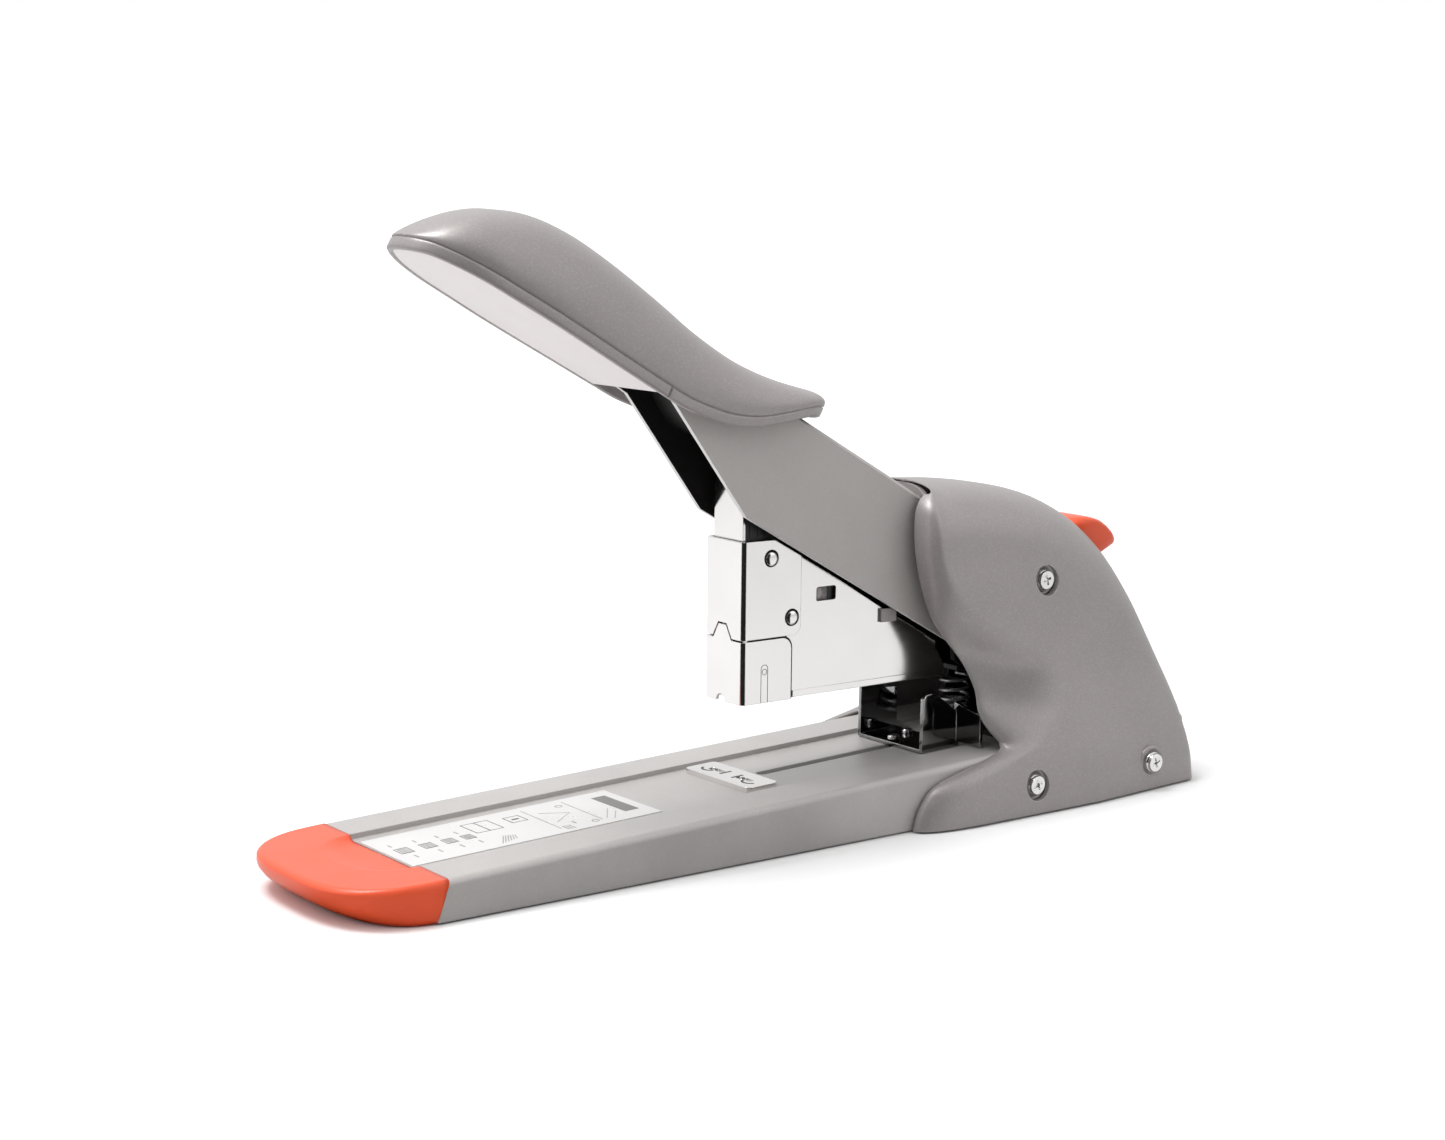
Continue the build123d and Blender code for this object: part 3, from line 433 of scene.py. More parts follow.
GRIP_TIP, GRIP_TAIL = -231.9, -102.1
CAP_START, TAIL_START = -208.0, -119.0
TAIL_HALF = 17.0
GRIP_TOP = [(GRIP_TIP, 2.6), (-230.4, 4.6), (-227.5, 8.4), (-224.6, 11.6), (-220.5, 15.4),
            (-216.0, 18.4), (-205.5, 22.8), (-193.3, 24.6), (-179.7, 24.4), (-161.4, 22.8),
            (-151.6, 21.4), (-142.2, 20.6), (-134.6, 20.4), (-127.4, 20.9), (-120.4, 21.9),
            (-113.7, 23.4), (-107.5, 24.9), (-104.6, 24.6), (GRIP_TAIL, 23.2)]
GRIP_EDGE = [(GRIP_TIP, -0.6), (-228.0, -0.1), (-151.0, 0.0), (-144.0, 0.7), (-135.0, 2.5),
             (-126.7, 5.9), (-120.7, 9.9), (-115.0, 13.9), (-110.5, 16.6), (-106.5, 18.2),
             (GRIP_TAIL, 19.3)]
FLANK = [(CAP_START, 17.4), (-192.0, 18.0), (-165.0, 16.5), (-142.0, 15.9), (TAIL_START, 17.0)]
BAND = 3.3                 # height of the rim band under the groove
NOTCH = -155.2             # seam in the rim band
GRIP_WALL = 2.0


def grip_outline():
    """Half of the plan, tip to tail: (s, half width)."""
    half = []
    for i in range(25):
        angle = math.radians(90 * i / 24)
        half.append((CAP_START + (GRIP_TIP - CAP_START) * math.cos(angle) ** 0.95,
                     follow(FLANK, CAP_START) * math.sin(angle) ** 0.95))
    stations = [CAP_START + 2.2 * (i + 1) for i in range(40)]
    stations = [v for v in stations if abs(v - NOTCH) > 1.0 and v < TAIL_START - 0.5]
    stations += [NOTCH + v for v in (-0.75, -0.24, -0.20, 0.20, 0.24, 0.75)]
    half += [(v, follow(FLANK, v)) for v in sorted(stations)]
    for i in range(25):
        angle = math.radians(90 * i / 24)
        half.append((TAIL_START + (GRIP_TAIL - TAIL_START) * math.sin(angle) ** 0.93,
                     TAIL_HALF * math.cos(angle) ** 0.93))
    return half


def grip_height(s, y, half):
    """Height of the grip's skin over a plan point."""
    edge = follow(GRIP_EDGE, s) + BAND
    share = min(1.0, abs(y) / max(half, 0.01))
    power = 2.15 + 0.35 * max(0.0, min(1.0, (s + 160) / 40))
    return edge + max(0.2, follow(GRIP_TOP, s) - edge) * (1 - share ** power) ** (1 / power)


def half_at(s):
    """Half width of the plan at a station."""
    if s < CAP_START:
        share = min(1.0, (CAP_START - s) / (CAP_START - GRIP_TIP))
        return follow(FLANK, CAP_START) * (1 - share ** 2.1) ** (1 / 2.1)
    if s > TAIL_START:
        share = min(1.0, (s - TAIL_START) / (GRIP_TAIL - TAIL_START))
        return TAIL_HALF * (1 - share ** 2.15) ** (1 / 2.15)
    return follow(FLANK, s)


outline = grip_outline()
loop = [(s, -w) for s, w in outline] + [(s, w) for s, w in reversed(outline[1:-1])]
count = len(loop)
normals = []
for i in range(count):
    a, b = loop[i - 1], loop[(i + 1) % count]
    run = (b[0] - a[0], b[1] - a[1])
    size = math.hypot(*run) or 1.0
    normals.append((run[1] / size, -run[0] / size))
if normals[len(outline) // 2][1] > 0:
    normals = [(-a, -b) for a, b in normals]
RINGS = [0.0, 0.10, 0.20, 0.30, 0.40, 0.50, 0.60, 0.69, 0.77, 0.84, 0.895, 0.94, 0.97, 0.99, 1.0]


def grip_ring(share, sink, inset):
    """A ring of skin points: share 1 at the rim, 0 on the spine. The inside is sunk and inset."""
    ring = []
    for (s, y), (nx, ny) in zip(loop, normals):
        spine = max(-216.0, min(TAIL_START, s))
        px, py = s - nx * inset, y - ny * inset
        qx, qy = spine + (px - spine) * share, py * share
        ring.append(on_arm(qx, qy, grip_height(qx, qy, half_at(qx)) - sink))
    return ring


def grip_wall(out, rise, notch=0.0):
    """A ring on the rim band: moved out along the normal, at a height over the edge."""
    ring = []
    for (s, y), (nx, ny) in zip(loop, normals):
        step = out - (notch if abs(s - NOTCH) < 0.22 else 0.0)
        ring.append(on_arm(s + nx * step, y + ny * step, follow(GRIP_EDGE, s) + rise))
    return ring


rings = [grip_ring(r, 0.0, 0.0) for r in RINGS]
rings += [grip_wall(-0.05, BAND - 0.08), grip_wall(-0.50, BAND - 0.22),
          grip_wall(-0.50, BAND - 0.42), grip_wall(-0.06, BAND - 0.58, 0.6),
          grip_wall(0.0, BAND - 0.9, 0.6),
          grip_wall(0.0, 0.7, 0.6), grip_wall(-0.12, 0.25, 0.6), grip_wall(-0.4, 0.02, 0.6),
          grip_wall(-1.5, 0.0, 0.0), grip_wall(-GRIP_WALL, 0.4)]
rings += [grip_ring(r, 1.9, GRIP_WALL) for r in (1.0, 0.95, 0.85, 0.7, 0.5, 0.25, 0.0)]
mesh_piece("grip_shell", [v for ring in rings for v in ring], rows_to_faces(len(rings), count),
           "silver_plastic", "handle", ["grip_cover"])

# ---- housing
# The shell is a height field over its side view: rows run from the mouth edge to the rear.
MOUTH = [(0.6, 141.0, 32.0), (3.0, 141.7, 31.9), (5.9, 143.0, 31.8), (8.5, 144.9, 31.7),
         (10.8, 147.2, 31.6), (12.4, 150.8, 31.5), (13.7, 155.5, 31.5), (15.0, 161.0, 31.5),
         (16.3, 166.8, 31.4), (17.4, 171.5, 30.8), (18.3, 174.3, 29.6), (19.6, 175.0, 28.2),
         (22.0, 173.4, 26.6), (25.0, 171.6, 25.2), (28.2, 170.8, 24.0), (33.4, 171.3, 22.0),
         (39.6, 169.3, 20.0), (43.5, 166.8, 19.0), (47.7, 163.5, 18.0), (53.0, 160.0, 16.9),
         (59.0, 157.6, 16.0), (65.6, 156.0, 15.2), (74.0, 155.0, 14.4), (82.0, 155.8, 13.3),
         (85.6, 157.6, 12.7), (87.3, 159.8, 12.3)]
MID = [(0.0, 254.0), (9.0, 253.9), (15.0, 253.2), (24.0, 251.6), (37.0, 247.0), (52.0, 240.0),
       (60.0, 235.0), (68.0, 228.8), (75.0, 221.0), (80.5, 212.0), (85.3, 199.6), (88.3, 184.0),
       (89.7, 171.0), (90.0, 163.0)]
SIDE = [(0.0, 38.0), (8.5, 37.4), (15.0, 35.9), (24.0, 33.0), (37.0, 28.9), (52.0, 25.7),
        (63.0, 23.7), (70.0, 22.4), (76.0, 21.5), (81.0, 20.8), (92.0, 19.6)]
LEAD = [(0.0, 24.0), (9.0, 22.0), (14.0, 14.0), (18.0, 9.0), (22.0, 16.0), (28.0, 26.0),
        (38.0, 26.0), (47.0, 17.0), (57.5, 8.5), (66.0, 5.5), (76.0, 4.2), (90.0, 3.6)]
ROUND = [(0.0, 9.0), (30.0, 13.0), (60.0, 16.0), (80.0, 15.0), (90.0, 11.0)]
TAPER_FROM, TAPER = 205.0, 0.0023       # the skirt narrows towards the rear


MID_LINE = []
for i in range(241):
    height = 90.0 * math.sin(math.radians(90 * i / 240))
    MID_LINE.append((follow(MID, height), height))


def depth_inside(d, z):
    """Distance of a side-view point from the roof and rear line."""
    near = min(range(len(MID_LINE)),
               key=lambda i: (d - MID_LINE[i][0]) ** 2 + (z - MID_LINE[i][1]) ** 2)
    best = math.hypot(d - MID_LINE[near][0], z - MID_LINE[near][1])
    for i in (near - 1, near):
        if 0 <= i < len(MID_LINE) - 1:
            (ax, az), (bx, bz) = MID_LINE[i], MID_LINE[i + 1]
            run, rise = bx - ax, bz - az
            t = ((d - ax) * run + (z - az) * rise) / (run * run + rise * rise)
            t = max(0.0, min(1.0, t))
            best = min(best, math.hypot(d - ax - run * t, z - az - rise * t))
    return best


def shell_half(d, z):
    """Half width of the shell at a side-view point."""
    share = min(1.0, depth_inside(d, z) / follow(ROUND, z))
    hull = follow(SIDE, z) * (1 - TAPER * max(0.0, d - TAPER_FROM))
    hull *= (1 - (1 - share) ** 2.3) ** (1 / 2.3)
    edge_d = follow(MOUTH_D, z)
    edge_y = follow(MOUTH_Y, z)
    if hull <= edge_y:
        return hull
    run = max(0.0, min(1.0, (d - edge_d) / follow(LEAD, z)))
    soft = max(0.0, min(1.0, (z - 18) / 12)) * max(0.0, min(1.0, (62 - z) / 18))
    sharp = (1 - (1 - run) ** 2.4) ** (1 / 2.4)
    gentle = run * run * (3 - 2 * run)
    return edge_y + (hull - edge_y) * (sharp * (1 - 0.75 * soft) + gentle * 0.75 * soft)


MOUTH_D = [(p[0], p[1]) for p in MOUTH]
MOUTH_Y = [(p[0], p[2]) for p in MOUTH]
ROOF_FROM = 60.0
roof_line = [p for p in MID_LINE if p[1] >= ROOF_FROM]
roof_run = [0.0]
for a, b in zip(roof_line, roof_line[1:]):
    roof_run.append(roof_run[-1] + math.hypot(b[0] - a[0], b[1] - a[1]))


def rear_point(z):
    """Point on the rear and roof line that a row from the mouth at this height ends on."""
    if z < ROOF_FROM:
        return follow(MID, z), z
    want = roof_run[-1] * (z - ROOF_FROM) / (MOUTH[-1][0] - ROOF_FROM)
    for k in range(len(roof_run) - 1):
        if want <= roof_run[k + 1]:
            share = (want - roof_run[k]) / (roof_run[k + 1] - roof_run[k])
            a, b = roof_line[k], roof_line[k + 1]
            return a[0] + (b[0] - a[0]) * share, a[1] + (b[1] - a[1]) * share
    return roof_line[-1]


ROOF_FRONT = 162.0
SHELL_COLUMNS = 72
SHELL_WALL = 1.7
levels = []
for a, b in zip(MOUTH, MOUTH[1:]):
    steps = max(1, round((b[0] - a[0]) / 1.5))
    levels += [a[0] + (b[0] - a[0]) * k / steps for k in range(steps)]
levels.append(MOUTH[-1][0])


def shell_rows(sign):
    """Rows of one half of the shell."""
    verts = []
    for z in levels:
        start = (follow(MOUTH_D, z), z)
        end = rear_point(z)
        end = (max(end[0], ROOF_FRONT), end[1])
        for k in range(SHELL_COLUMNS):
            u = (1 - math.cos(math.pi * k / (SHELL_COLUMNS - 1))) / 2
            d = start[0] + (end[0] - start[0]) * u
            h = start[1] + (end[1] - start[1]) * u
            half = 0.0 if k == SHELL_COLUMNS - 1 else shell_half(d, h)
            verts.append(at(d, sign * half, h))
    return verts


def rod(place, axis, radius, start, stop, segments=48, flare=0.0):
    """Helper cylinder between two distances along an axis, for booleans."""
    axis = Vector(axis).normalized()
    side = axis.orthogonal().normalized()
    other = axis.cross(side)
    verts = []
    for along, size in ((start, radius), (stop, radius + flare)):
        for k in range(segments):
            turn = 2 * math.pi * k / segments
            verts.append(place + (axis * along + side * math.cos(turn) * size
                                  + other * math.sin(turn) * size) * MM)
    faces = rows_to_faces(2, segments)
    faces.append(tuple(range(segments)))
    faces.append(tuple(range(segments, 2 * segments)))
    return loose("cutter", verts, faces)


SCREWS = [(196.0, 62.0, 21.8), (181.6, 8.4, 35.4), (228.0, 8.4, 35.4)]
RECESS_R = 3.75
BUTTON_AT = (227.5, 69.0)
BUTTON_SLOPE = math.radians(24.0)
BUTTON_HALF = (8.5, 7.5)
BUTTON_AXIS = Vector((math.cos(BUTTON_SLOPE), 0, math.sin(BUTTON_SLOPE)))
BUTTON_UP = Vector((-math.sin(BUTTON_SLOPE), 0, math.cos(BUTTON_SLOPE)))


def button_prism(grow, start, stop):
    """Rounded rectangular bar along the button's travel."""
    verts = []
    ring = []
    for k in range(64):
        turn = 2 * math.pi * k / 64
        c, s = math.cos(turn), math.sin(turn)
        ring.append(((BUTTON_HALF[0] + grow) * math.copysign(abs(c) ** 0.35, c),
                     (BUTTON_HALF[1] + grow) * math.copysign(abs(s) ** 0.35, s)))
    for along in (start, stop):
        for y, h in ring:
            verts.append(at(BUTTON_AT[0], 0, BUTTON_AT[1])
                         + (BUTTON_AXIS * along + BUTTON_UP * h + Vector((0, y, 0))) * MM)
    faces = rows_to_faces(2, 64)
    faces.append(tuple(range(64)))
    faces.append(tuple(range(64, 128)))
    return loose("cutter", verts, faces)


def turned_piece(name, profile, place, sign, slot, body, replaced=(), segments=40):
    """Turned piece about an axis across the stapler: profile of (radius, distance out)."""
    verts = []
    for radius, out in profile:
        for k in range(segments):
            turn = 2 * math.pi * k / segments
            verts.append(place + Vector((radius * math.cos(turn), sign * out,
                                         radius * math.sin(turn))) * MM)
    return mesh_piece(name, verts, rows_to_faces(len(profile), segments), slot, body, replaced)


def screw_seat(label, place, sign, floor_y):
    """Moulded cup under a screw head."""
    wall = RECESS_R + 0.9
    turned_piece("screw_seat_" + label,
                 [(0.0, floor_y - 1.2), (wall, floor_y - 1.2), (wall, floor_y + 0.2),
                  (wall - 0.4, floor_y + 0.45), (RECESS_R - 0.05, floor_y + 0.45),
                  (RECESS_R - 0.15, floor_y), (0.0, floor_y)],
                 place, sign, "silver_plastic", "root")


def pan_screw(name, place, sign, floor_y, turn):
    """Pan head with a cross recess."""
    head = 3.0
    profile = [(0.0, floor_y - 1.0), (1.45, floor_y - 1.0), (1.45, floor_y + 0.02),
               (head - 0.25, floor_y + 0.02), (head, floor_y + 0.30)]
    for k in range(9):
        angle = math.radians(10 * k)
        profile.append((head * math.cos(angle) ** 0.8,
                        floor_y + 0.45 + 1.45 * math.sin(angle) ** 0.85))
    profile.append((0.0, floor_y + 1.92))
    screw = turned_piece(name, profile, place, sign, "screw_chrome", "root")
    top = floor_y + 1.92
    for quarter in (0, 90):
        angle = math.radians(turn + quarter)
        along = Vector((math.cos(angle), 0, math.sin(angle)))
        across = Vector((-math.sin(angle), 0, math.cos(angle)))
        verts = []
        for out, length, width in ((top + 1.0, 1.95, 0.42), (top - 0.35, 1.55, 0.36),
                                   (top - 1.2, 0.55, 0.22)):
            for a, b in ((1, 1), (-1, 1), (-1, -1), (1, -1)):
                verts.append(place + (along * a * length + across * b * width
                                      + Vector((0, sign * out, 0))) * MM)
        faces = rows_to_faces(3, 4) + [(0, 1, 2, 3), (8, 9, 10, 11)]
        cut(screw, loose("cutter", verts, faces))
    return sharpen(screw)


for side_name, sign in SIDES:
    shell = loose("shell_" + side_name, shell_rows(sign),
                  rows_to_faces(len(levels), SHELL_COLUMNS, closed=False))
    step = shell.modifiers.new("wall", "SOLIDIFY")
    step.thickness = SHELL_WALL * MM
    step.offset = -1.0
    step.use_even_offset = False
    step.thickness_clamp = 1.0
    apply_modifiers(shell)
    for d, z, floor_y in SCREWS:
        spot = at(d, sign * floor_y, z)
        out = (0, sign, 0)
        cut(shell, rod(spot, out, RECESS_R, -3.0, 9.0, flare=1.2))
    cut(shell, button_prism(0.3, -9, 25))
    finish_piece(shell, "silver_plastic", "root", ["housing_" + side_name])
    sharpen(shell, 45)
    for index, (d, z, floor_y) in enumerate(SCREWS):
        screw_seat("%s_%d" % (side_name, index + 1), at(d, 0, z), sign, floor_y)
        pan_screw("screw_%s_%d" % (side_name, index + 1), at(d, 0, z), sign, floor_y,
                  20 + 35 * index)


# ---- nose
NOSE_REACH, NOSE_HALF = 27.0, 31.0
NOSE_COLUMNS = 97
NOSE_LEVELS = [(0.6, 18.9, 0.985), (1.6, 20.9, 0.99), (3.0, 23.2, 0.995), (4.6, 25.3, 1.0),
               (6.2, 26.6, 1.0), (7.4, 27.0, 1.0), (8.3, 26.9, 1.0)]
DIP, DIP_HALF, DIP_FRONT = 1.45, 16.6, -14.5


def nose_curve(reach, half, rear):
    """Open outline of the nose from the right of the joint round to the left."""
    points = []
    for k in range(NOSE_COLUMNS):
        turn = math.pi * k / (NOSE_COLUMNS - 1) - math.pi / 2
        c, s = max(0.0, math.cos(turn)), math.sin(turn)
        d = -reach * c ** (2 / 2.9)
        points.append((min(d, rear) if k not in (0, NOSE_COLUMNS - 1) else rear,
                       half * math.copysign(abs(s) ** (2 / 2.9), s)))
    return points


def smooth_step(low, high, x):
    t = max(0.0, min(1.0, (x - low) / (high - low)))
    return t * t * (3 - 2 * t)


def nose_top(d, y):
    """Height of the nose's top: raised shoulders beside a low middle."""
    across = 1 - smooth_step(DIP_HALF - 0.9, DIP_HALF + 0.5, abs(y))
    corner = DIP_FRONT + 9.0 * max(0.0, abs(y) / DIP_HALF) ** 4
    return rail(d) - DIP * across * smooth_step(corner, corner + 10.0, d)


nose_rings = []
for z, reach, wide in NOSE_LEVELS:
    lean = -0.3 - 3.1 * (1 - z / RAIL_FRONT)
    nose_rings.append([at(d, y, z) for d, y in nose_curve(reach, NOSE_HALF * wide, lean)])
EDGE_R = 2.1
for k in range(1, 8):
    turn = math.radians(90 * k / 7)
    inset = EDGE_R * (1 - math.cos(turn))
    ring = []
    for d, y in nose_curve(NOSE_REACH - inset, NOSE_HALF - inset * 0.45, -0.3):
        base = nose_top(d, y)
        ring.append(at(d, y, 8.3 + (base - 8.3) * math.sin(turn)))
    nose_rings.append(ring)
for k in range(1, 45):
    share = 1 - k / 45
    ring = []
    for d, y in nose_curve(NOSE_REACH - EDGE_R, NOSE_HALF - EDGE_R * 0.45, -0.3):
        px, py = -0.3 + (d + 0.3) * share, y * share
        ring.append(at(px, py, nose_top(px, py)))
    nose_rings.append(ring)
nose_rings.append([at(-0.3, 0, nose_top(-0.3, 0))] * NOSE_COLUMNS)
bottom = [[at(-3.4 + (d + 3.4) * share, y * share, 0.6)
           for d, y in nose_curve(18.9, NOSE_HALF * 0.985, -3.3)] for share in (0.0, 0.5, 0.9)]
nose_rings = bottom + nose_rings
nose = mesh_piece("nose_cap_shell", [v for ring in nose_rings for v in ring],
                  rows_to_faces(len(nose_rings), NOSE_COLUMNS, closed=False),
                  "orange_plastic", "root", ["nose_cap"])
work = bmesh.new()
work.from_mesh(nose.data)
open_edges = [e for e in work.edges if e.is_boundary]
bmesh.ops.holes_fill(work, edges=open_edges, sides=0)
bmesh.ops.recalc_face_normals(work, faces=work.faces)
work.to_mesh(nose.data)
work.free()

# ---- head
FOLD, SKIN = 1.4, 0.8                   # bend radius and thickness of the front plates
HEAD_AT, HEAD_HALF = 101.5, 8.1         # station of the front face, half width
PARTING = 51.9                          # height of the joint between cover and drawer
TOOTH_RISE = 3.9
COVER_REAR, COVER_CORNER = 121.0, 2.6
COVER_TOP, SLANT_FROM = 78.0, 112.1     # the cover's top edge slants down from this station
SLANT_DROP, SLANT_RUN = 4.9, 8.9
DRAWER_REAR, DRAWER_CORNER, DRAWER_FOOT = 118.0, 3.0, 34.9
NICK_AT, NICK_R = 0.9, 1.9              # half-round nick in the drawer's foot
PLATE_OUTER = 7.2                       # outer faces of the magazine's side plates


def ring_prism(name, rows, slot, body, replaced=()):
    """Closed bar through cross-sections that have the same number of points."""
    size = len(rows[0])
    faces = rows_to_faces(len(rows), size)
    faces += [tuple(range(size)), tuple(range(size * (len(rows) - 1), size * len(rows)))]
    return mesh_piece(name, [v for row in rows for v in row], faces, slot, body, replaced)


def block(name, low, high, slot, body):
    """Box between two corners given as station, width, height."""
    rows = []
    for d in (low[0], high[0]):
        rows.append([at(d, low[1], low[2]), at(d, high[1], low[2]), at(d, high[1], high[2]),
                     at(d, low[1], high[2])])
    return ring_prism(name, rows, slot, body)


def folded_sheet(name, rear, low, high, slot, body, replaced, stops=()):
    """U-shaped sheet round the head's front. Low and high give the heights of its edges."""
    flank = []
    front_side = HEAD_AT + FOLD
    for k in range(61):
        flank.append((rear - (rear - front_side) * (k / 60) ** 1.6, -HEAD_HALF, 0.0, -1.0))
    for k in range(1, 12):
        turn = math.radians(90 * k / 12)
        flank.append((front_side - FOLD * math.sin(turn), -HEAD_HALF + FOLD
                      - FOLD * math.cos(turn), -math.sin(turn), -math.cos(turn)))
    inner = HEAD_HALF - FOLD
    across = sorted(set([-inner + inner * k / 14 for k in range(29)] + list(stops)))
    plan = flank + [(HEAD_AT, y, -1.0, 0.0) for y in across]
    plan += [(d, -y, nx, -ny) for d, y, nx, ny in reversed(flank)]
    rows = []
    for d, y, nx, ny in plan:
        a, b = low(d, y), high(d, y)
        din, yin = d - nx * SKIN, y - ny * SKIN
        rows.append([at(d, y, a), at(d, y, b), at(din, yin, b), at(din, yin, a)])
    return ring_prism(name, rows, slot, body, replaced)


def tooth(y, grow):
    """Rise of the locating tooth in the parting line, 0 to 1."""
    left = (y + 3.5 + grow) / 2.3
    right = (4.5 + grow - y) / 2.3
    return max(0.0, min(1.0, left, right))


def cover_low(d, y):
    """Lower edge of the cover: the tooth's gap in front, a round corner behind."""
    height = PARTING + 0.2 + TOOTH_RISE * tooth(y, 0.12) * (1.0 if d < HEAD_AT + 1 else 0.0)
    into = d - (COVER_REAR - COVER_CORNER)
    if into > 0:
        height += COVER_CORNER - math.sqrt(max(0.0, COVER_CORNER ** 2 - into ** 2))
    return height


def cover_high(d, _):
    """Upper edge of the cover, the same across its width."""
    return COVER_TOP - max(0.0, d - SLANT_FROM) * SLANT_DROP / SLANT_RUN


def drawer_low(d, y):
    """Lower edge of the drawer's front, with its nick."""
    if d > HEAD_AT + 0.1 or abs(y - NICK_AT) >= NICK_R:
        return DRAWER_FOOT
    return DRAWER_FOOT + math.sqrt(NICK_R ** 2 - (y - NICK_AT) ** 2)


def drawer_high(d, y):
    """Upper edge of the drawer's front: the tooth in front, a round corner behind."""
    height = PARTING - 0.3 + TOOTH_RISE * tooth(y, -0.12) * (1.0 if d < HEAD_AT + 1 else 0.0)
    into = d - (DRAWER_REAR - DRAWER_CORNER)
    if into > 0:
        height -= DRAWER_CORNER - math.sqrt(max(0.0, DRAWER_CORNER ** 2 - into ** 2))
    return height


def ribbon_rows(path, width, place):
    """Cross-sections of a flat raised line along a path of (u, v). Place maps (u, v, lift)."""
    rows = []
    for k, (u, v) in enumerate(path):
        a, b = path[max(0, k - 1)], path[min(len(path) - 1, k + 1)]
        run = (b[0] - a[0], b[1] - a[1])
        size = math.hypot(*run) or 1.0
        nu, nv = -run[1] / size * width / 2, run[0] / size * width / 2
        rows.append([place(u + nu, v + nv, -0.01), place(u + nu, v + nv, 0.025),
                     place(u - nu, v - nv, 0.025), place(u - nu, v - nv, -0.01)])
    return rows


def marks(name, paths, place, slot, body):
    """One mesh of flat lines, (width, path) pairs: print, engraved lines and painted shade in
    gaps and grooves.
    """
    verts, faces = [], []
    for width, path in paths:
        start = len(verts)
        rows = ribbon_rows(path, width, place)
        for row in rows:
            verts += row
        for face in rows_to_faces(len(rows), 4):
            faces.append(tuple(start + i for i in face))
        faces.append(tuple(start + i for i in range(4)))
        faces.append(tuple(start + 4 * (len(rows) - 1) + i for i in range(4)))
    return mesh_piece(name, verts, faces, slot, body, smooth=False)


def arc(u, v, radius, first, last, count=14):
    """Points of a circular arc, angles in degrees."""
    points = []
    for k in range(count + 1):
        turn = math.radians(first + (last - first) * k / count)
        points.append((u + radius * math.cos(turn), v + radius * math.sin(turn)))
    return points


TEETH = [-3.62, -3.38, -1.32, -1.08, 2.08, 2.32, 4.38, 4.62]
cover = folded_sheet("head_cover_sheet", COVER_REAR, cover_low, cover_high, "nickel",
                     "head", ["head_cover"], TEETH)
RIVETS = [(110.9, 73.2), (118.0, 56.9)]
for d, z in RIVETS:
    cut(cover, rod(at(d, 0, z), (0, 1, 0), 2.35, -20, 20))
sharpen(cover)
nick = [NICK_AT + NICK_R * math.sin(math.radians(10 * k)) for k in range(-9, 10)]
drawer = folded_sheet("drawer_front_sheet", DRAWER_REAR, drawer_low, drawer_high, "nickel",
                      "drawer", ["drawer_front"], TEETH + nick)
sharpen(drawer)

for index, (d, z) in enumerate(RIVETS):
    for side_name, sign in SIDES:
        label = "%s_%d" % (side_name, index + 1)
        # painted shade: a black disc behind each rivet hole, with the rivet set a little off
        # centre, gives the dark crescent of shade in the hole
        turned_piece("rivet_hole_shade_" + label,
                     [(0.0, 7.21), (2.34, 7.21), (2.34, 7.27), (0.0, 7.27)], at(d, 0, z), sign,
                     "black_steel", "head")
        sharpen(turned_piece("rivet_" + label,
                             [(0.0, 7.22), (1.75, 7.22), (1.95, 7.7), (1.85, 8.05), (1.5, 8.3),
                              (1.0, 8.42), (0.0, 8.45)], at(d + 0.25, 0, z - 0.18), sign,
                             "nickel", "head",
                             ["cover_rivets"] if index == 0 and sign < 0 else ()))

for side_name, sign in SIDES:
    inner, outer = sorted((sign * 7.26, sign * 7.29))
    # dark strips that stand in for the shadow in the gaps of the front plates
    block("joint_shadow_" + side_name, (104.0, inner, 51.2), (117.0, outer, 52.6),
          "black_steel", "head")
    # painted shadow: a black line on the plate behind the drawer front's edge stands in for the
    # shade in the gap
    edge = [(108.0, 51.75), (115.4, 51.75)] + arc(115.5, 48.6, 3.15, 90, 0) + [(118.65, 35.0)]
    marks("drawer_gap_shadow_" + side_name, [(0.62, edge)],
          lambda u, v, lift, sign=sign: at(u, sign * (7.23 + lift), v), "black_steel", "drawer")
    a, b = sorted((sign * 6.35, sign * 5.6))
    block("window_plate_" + side_name, (126.2, a, 59.6), (131.2, b, 64.6), "silver_plastic",
          "head")
    a, b = sorted((sign * PLATE_OUTER, sign * 8.0))
    sharpen(block("side_stop_" + side_name, (149.2, a, 52.4), (154.6, b, 56.1), "silver_plastic",
                  "head"))
    a, b = sorted((sign * PLATE_OUTER, sign * 7.5))
    sharpen(block("lower_lip_" + side_name, (119.1, a, 35.2), (166.0, b, 36.9), "nickel", "head"))

SLOT_AT, SLOT_TOP, SLOT_R = 109.05, 44.0, 1.1
for side_name, sign in SIDES:
    slot_line = [(107.95, 35.0), (107.95, SLOT_TOP)] + arc(SLOT_AT, SLOT_TOP, SLOT_R, 180, 0)
    slot_line.append((110.15, 35.0))
    lines = [(0.16, slot_line), (0.16, arc(SLOT_AT, 43.2, 0.75, 0, 360, 20))]
    marks("slot_lines_" + side_name, lines,
          lambda u, v, lift, sign=sign: at(u, sign * (HEAD_HALF + lift), v), "black_steel",
          "drawer")

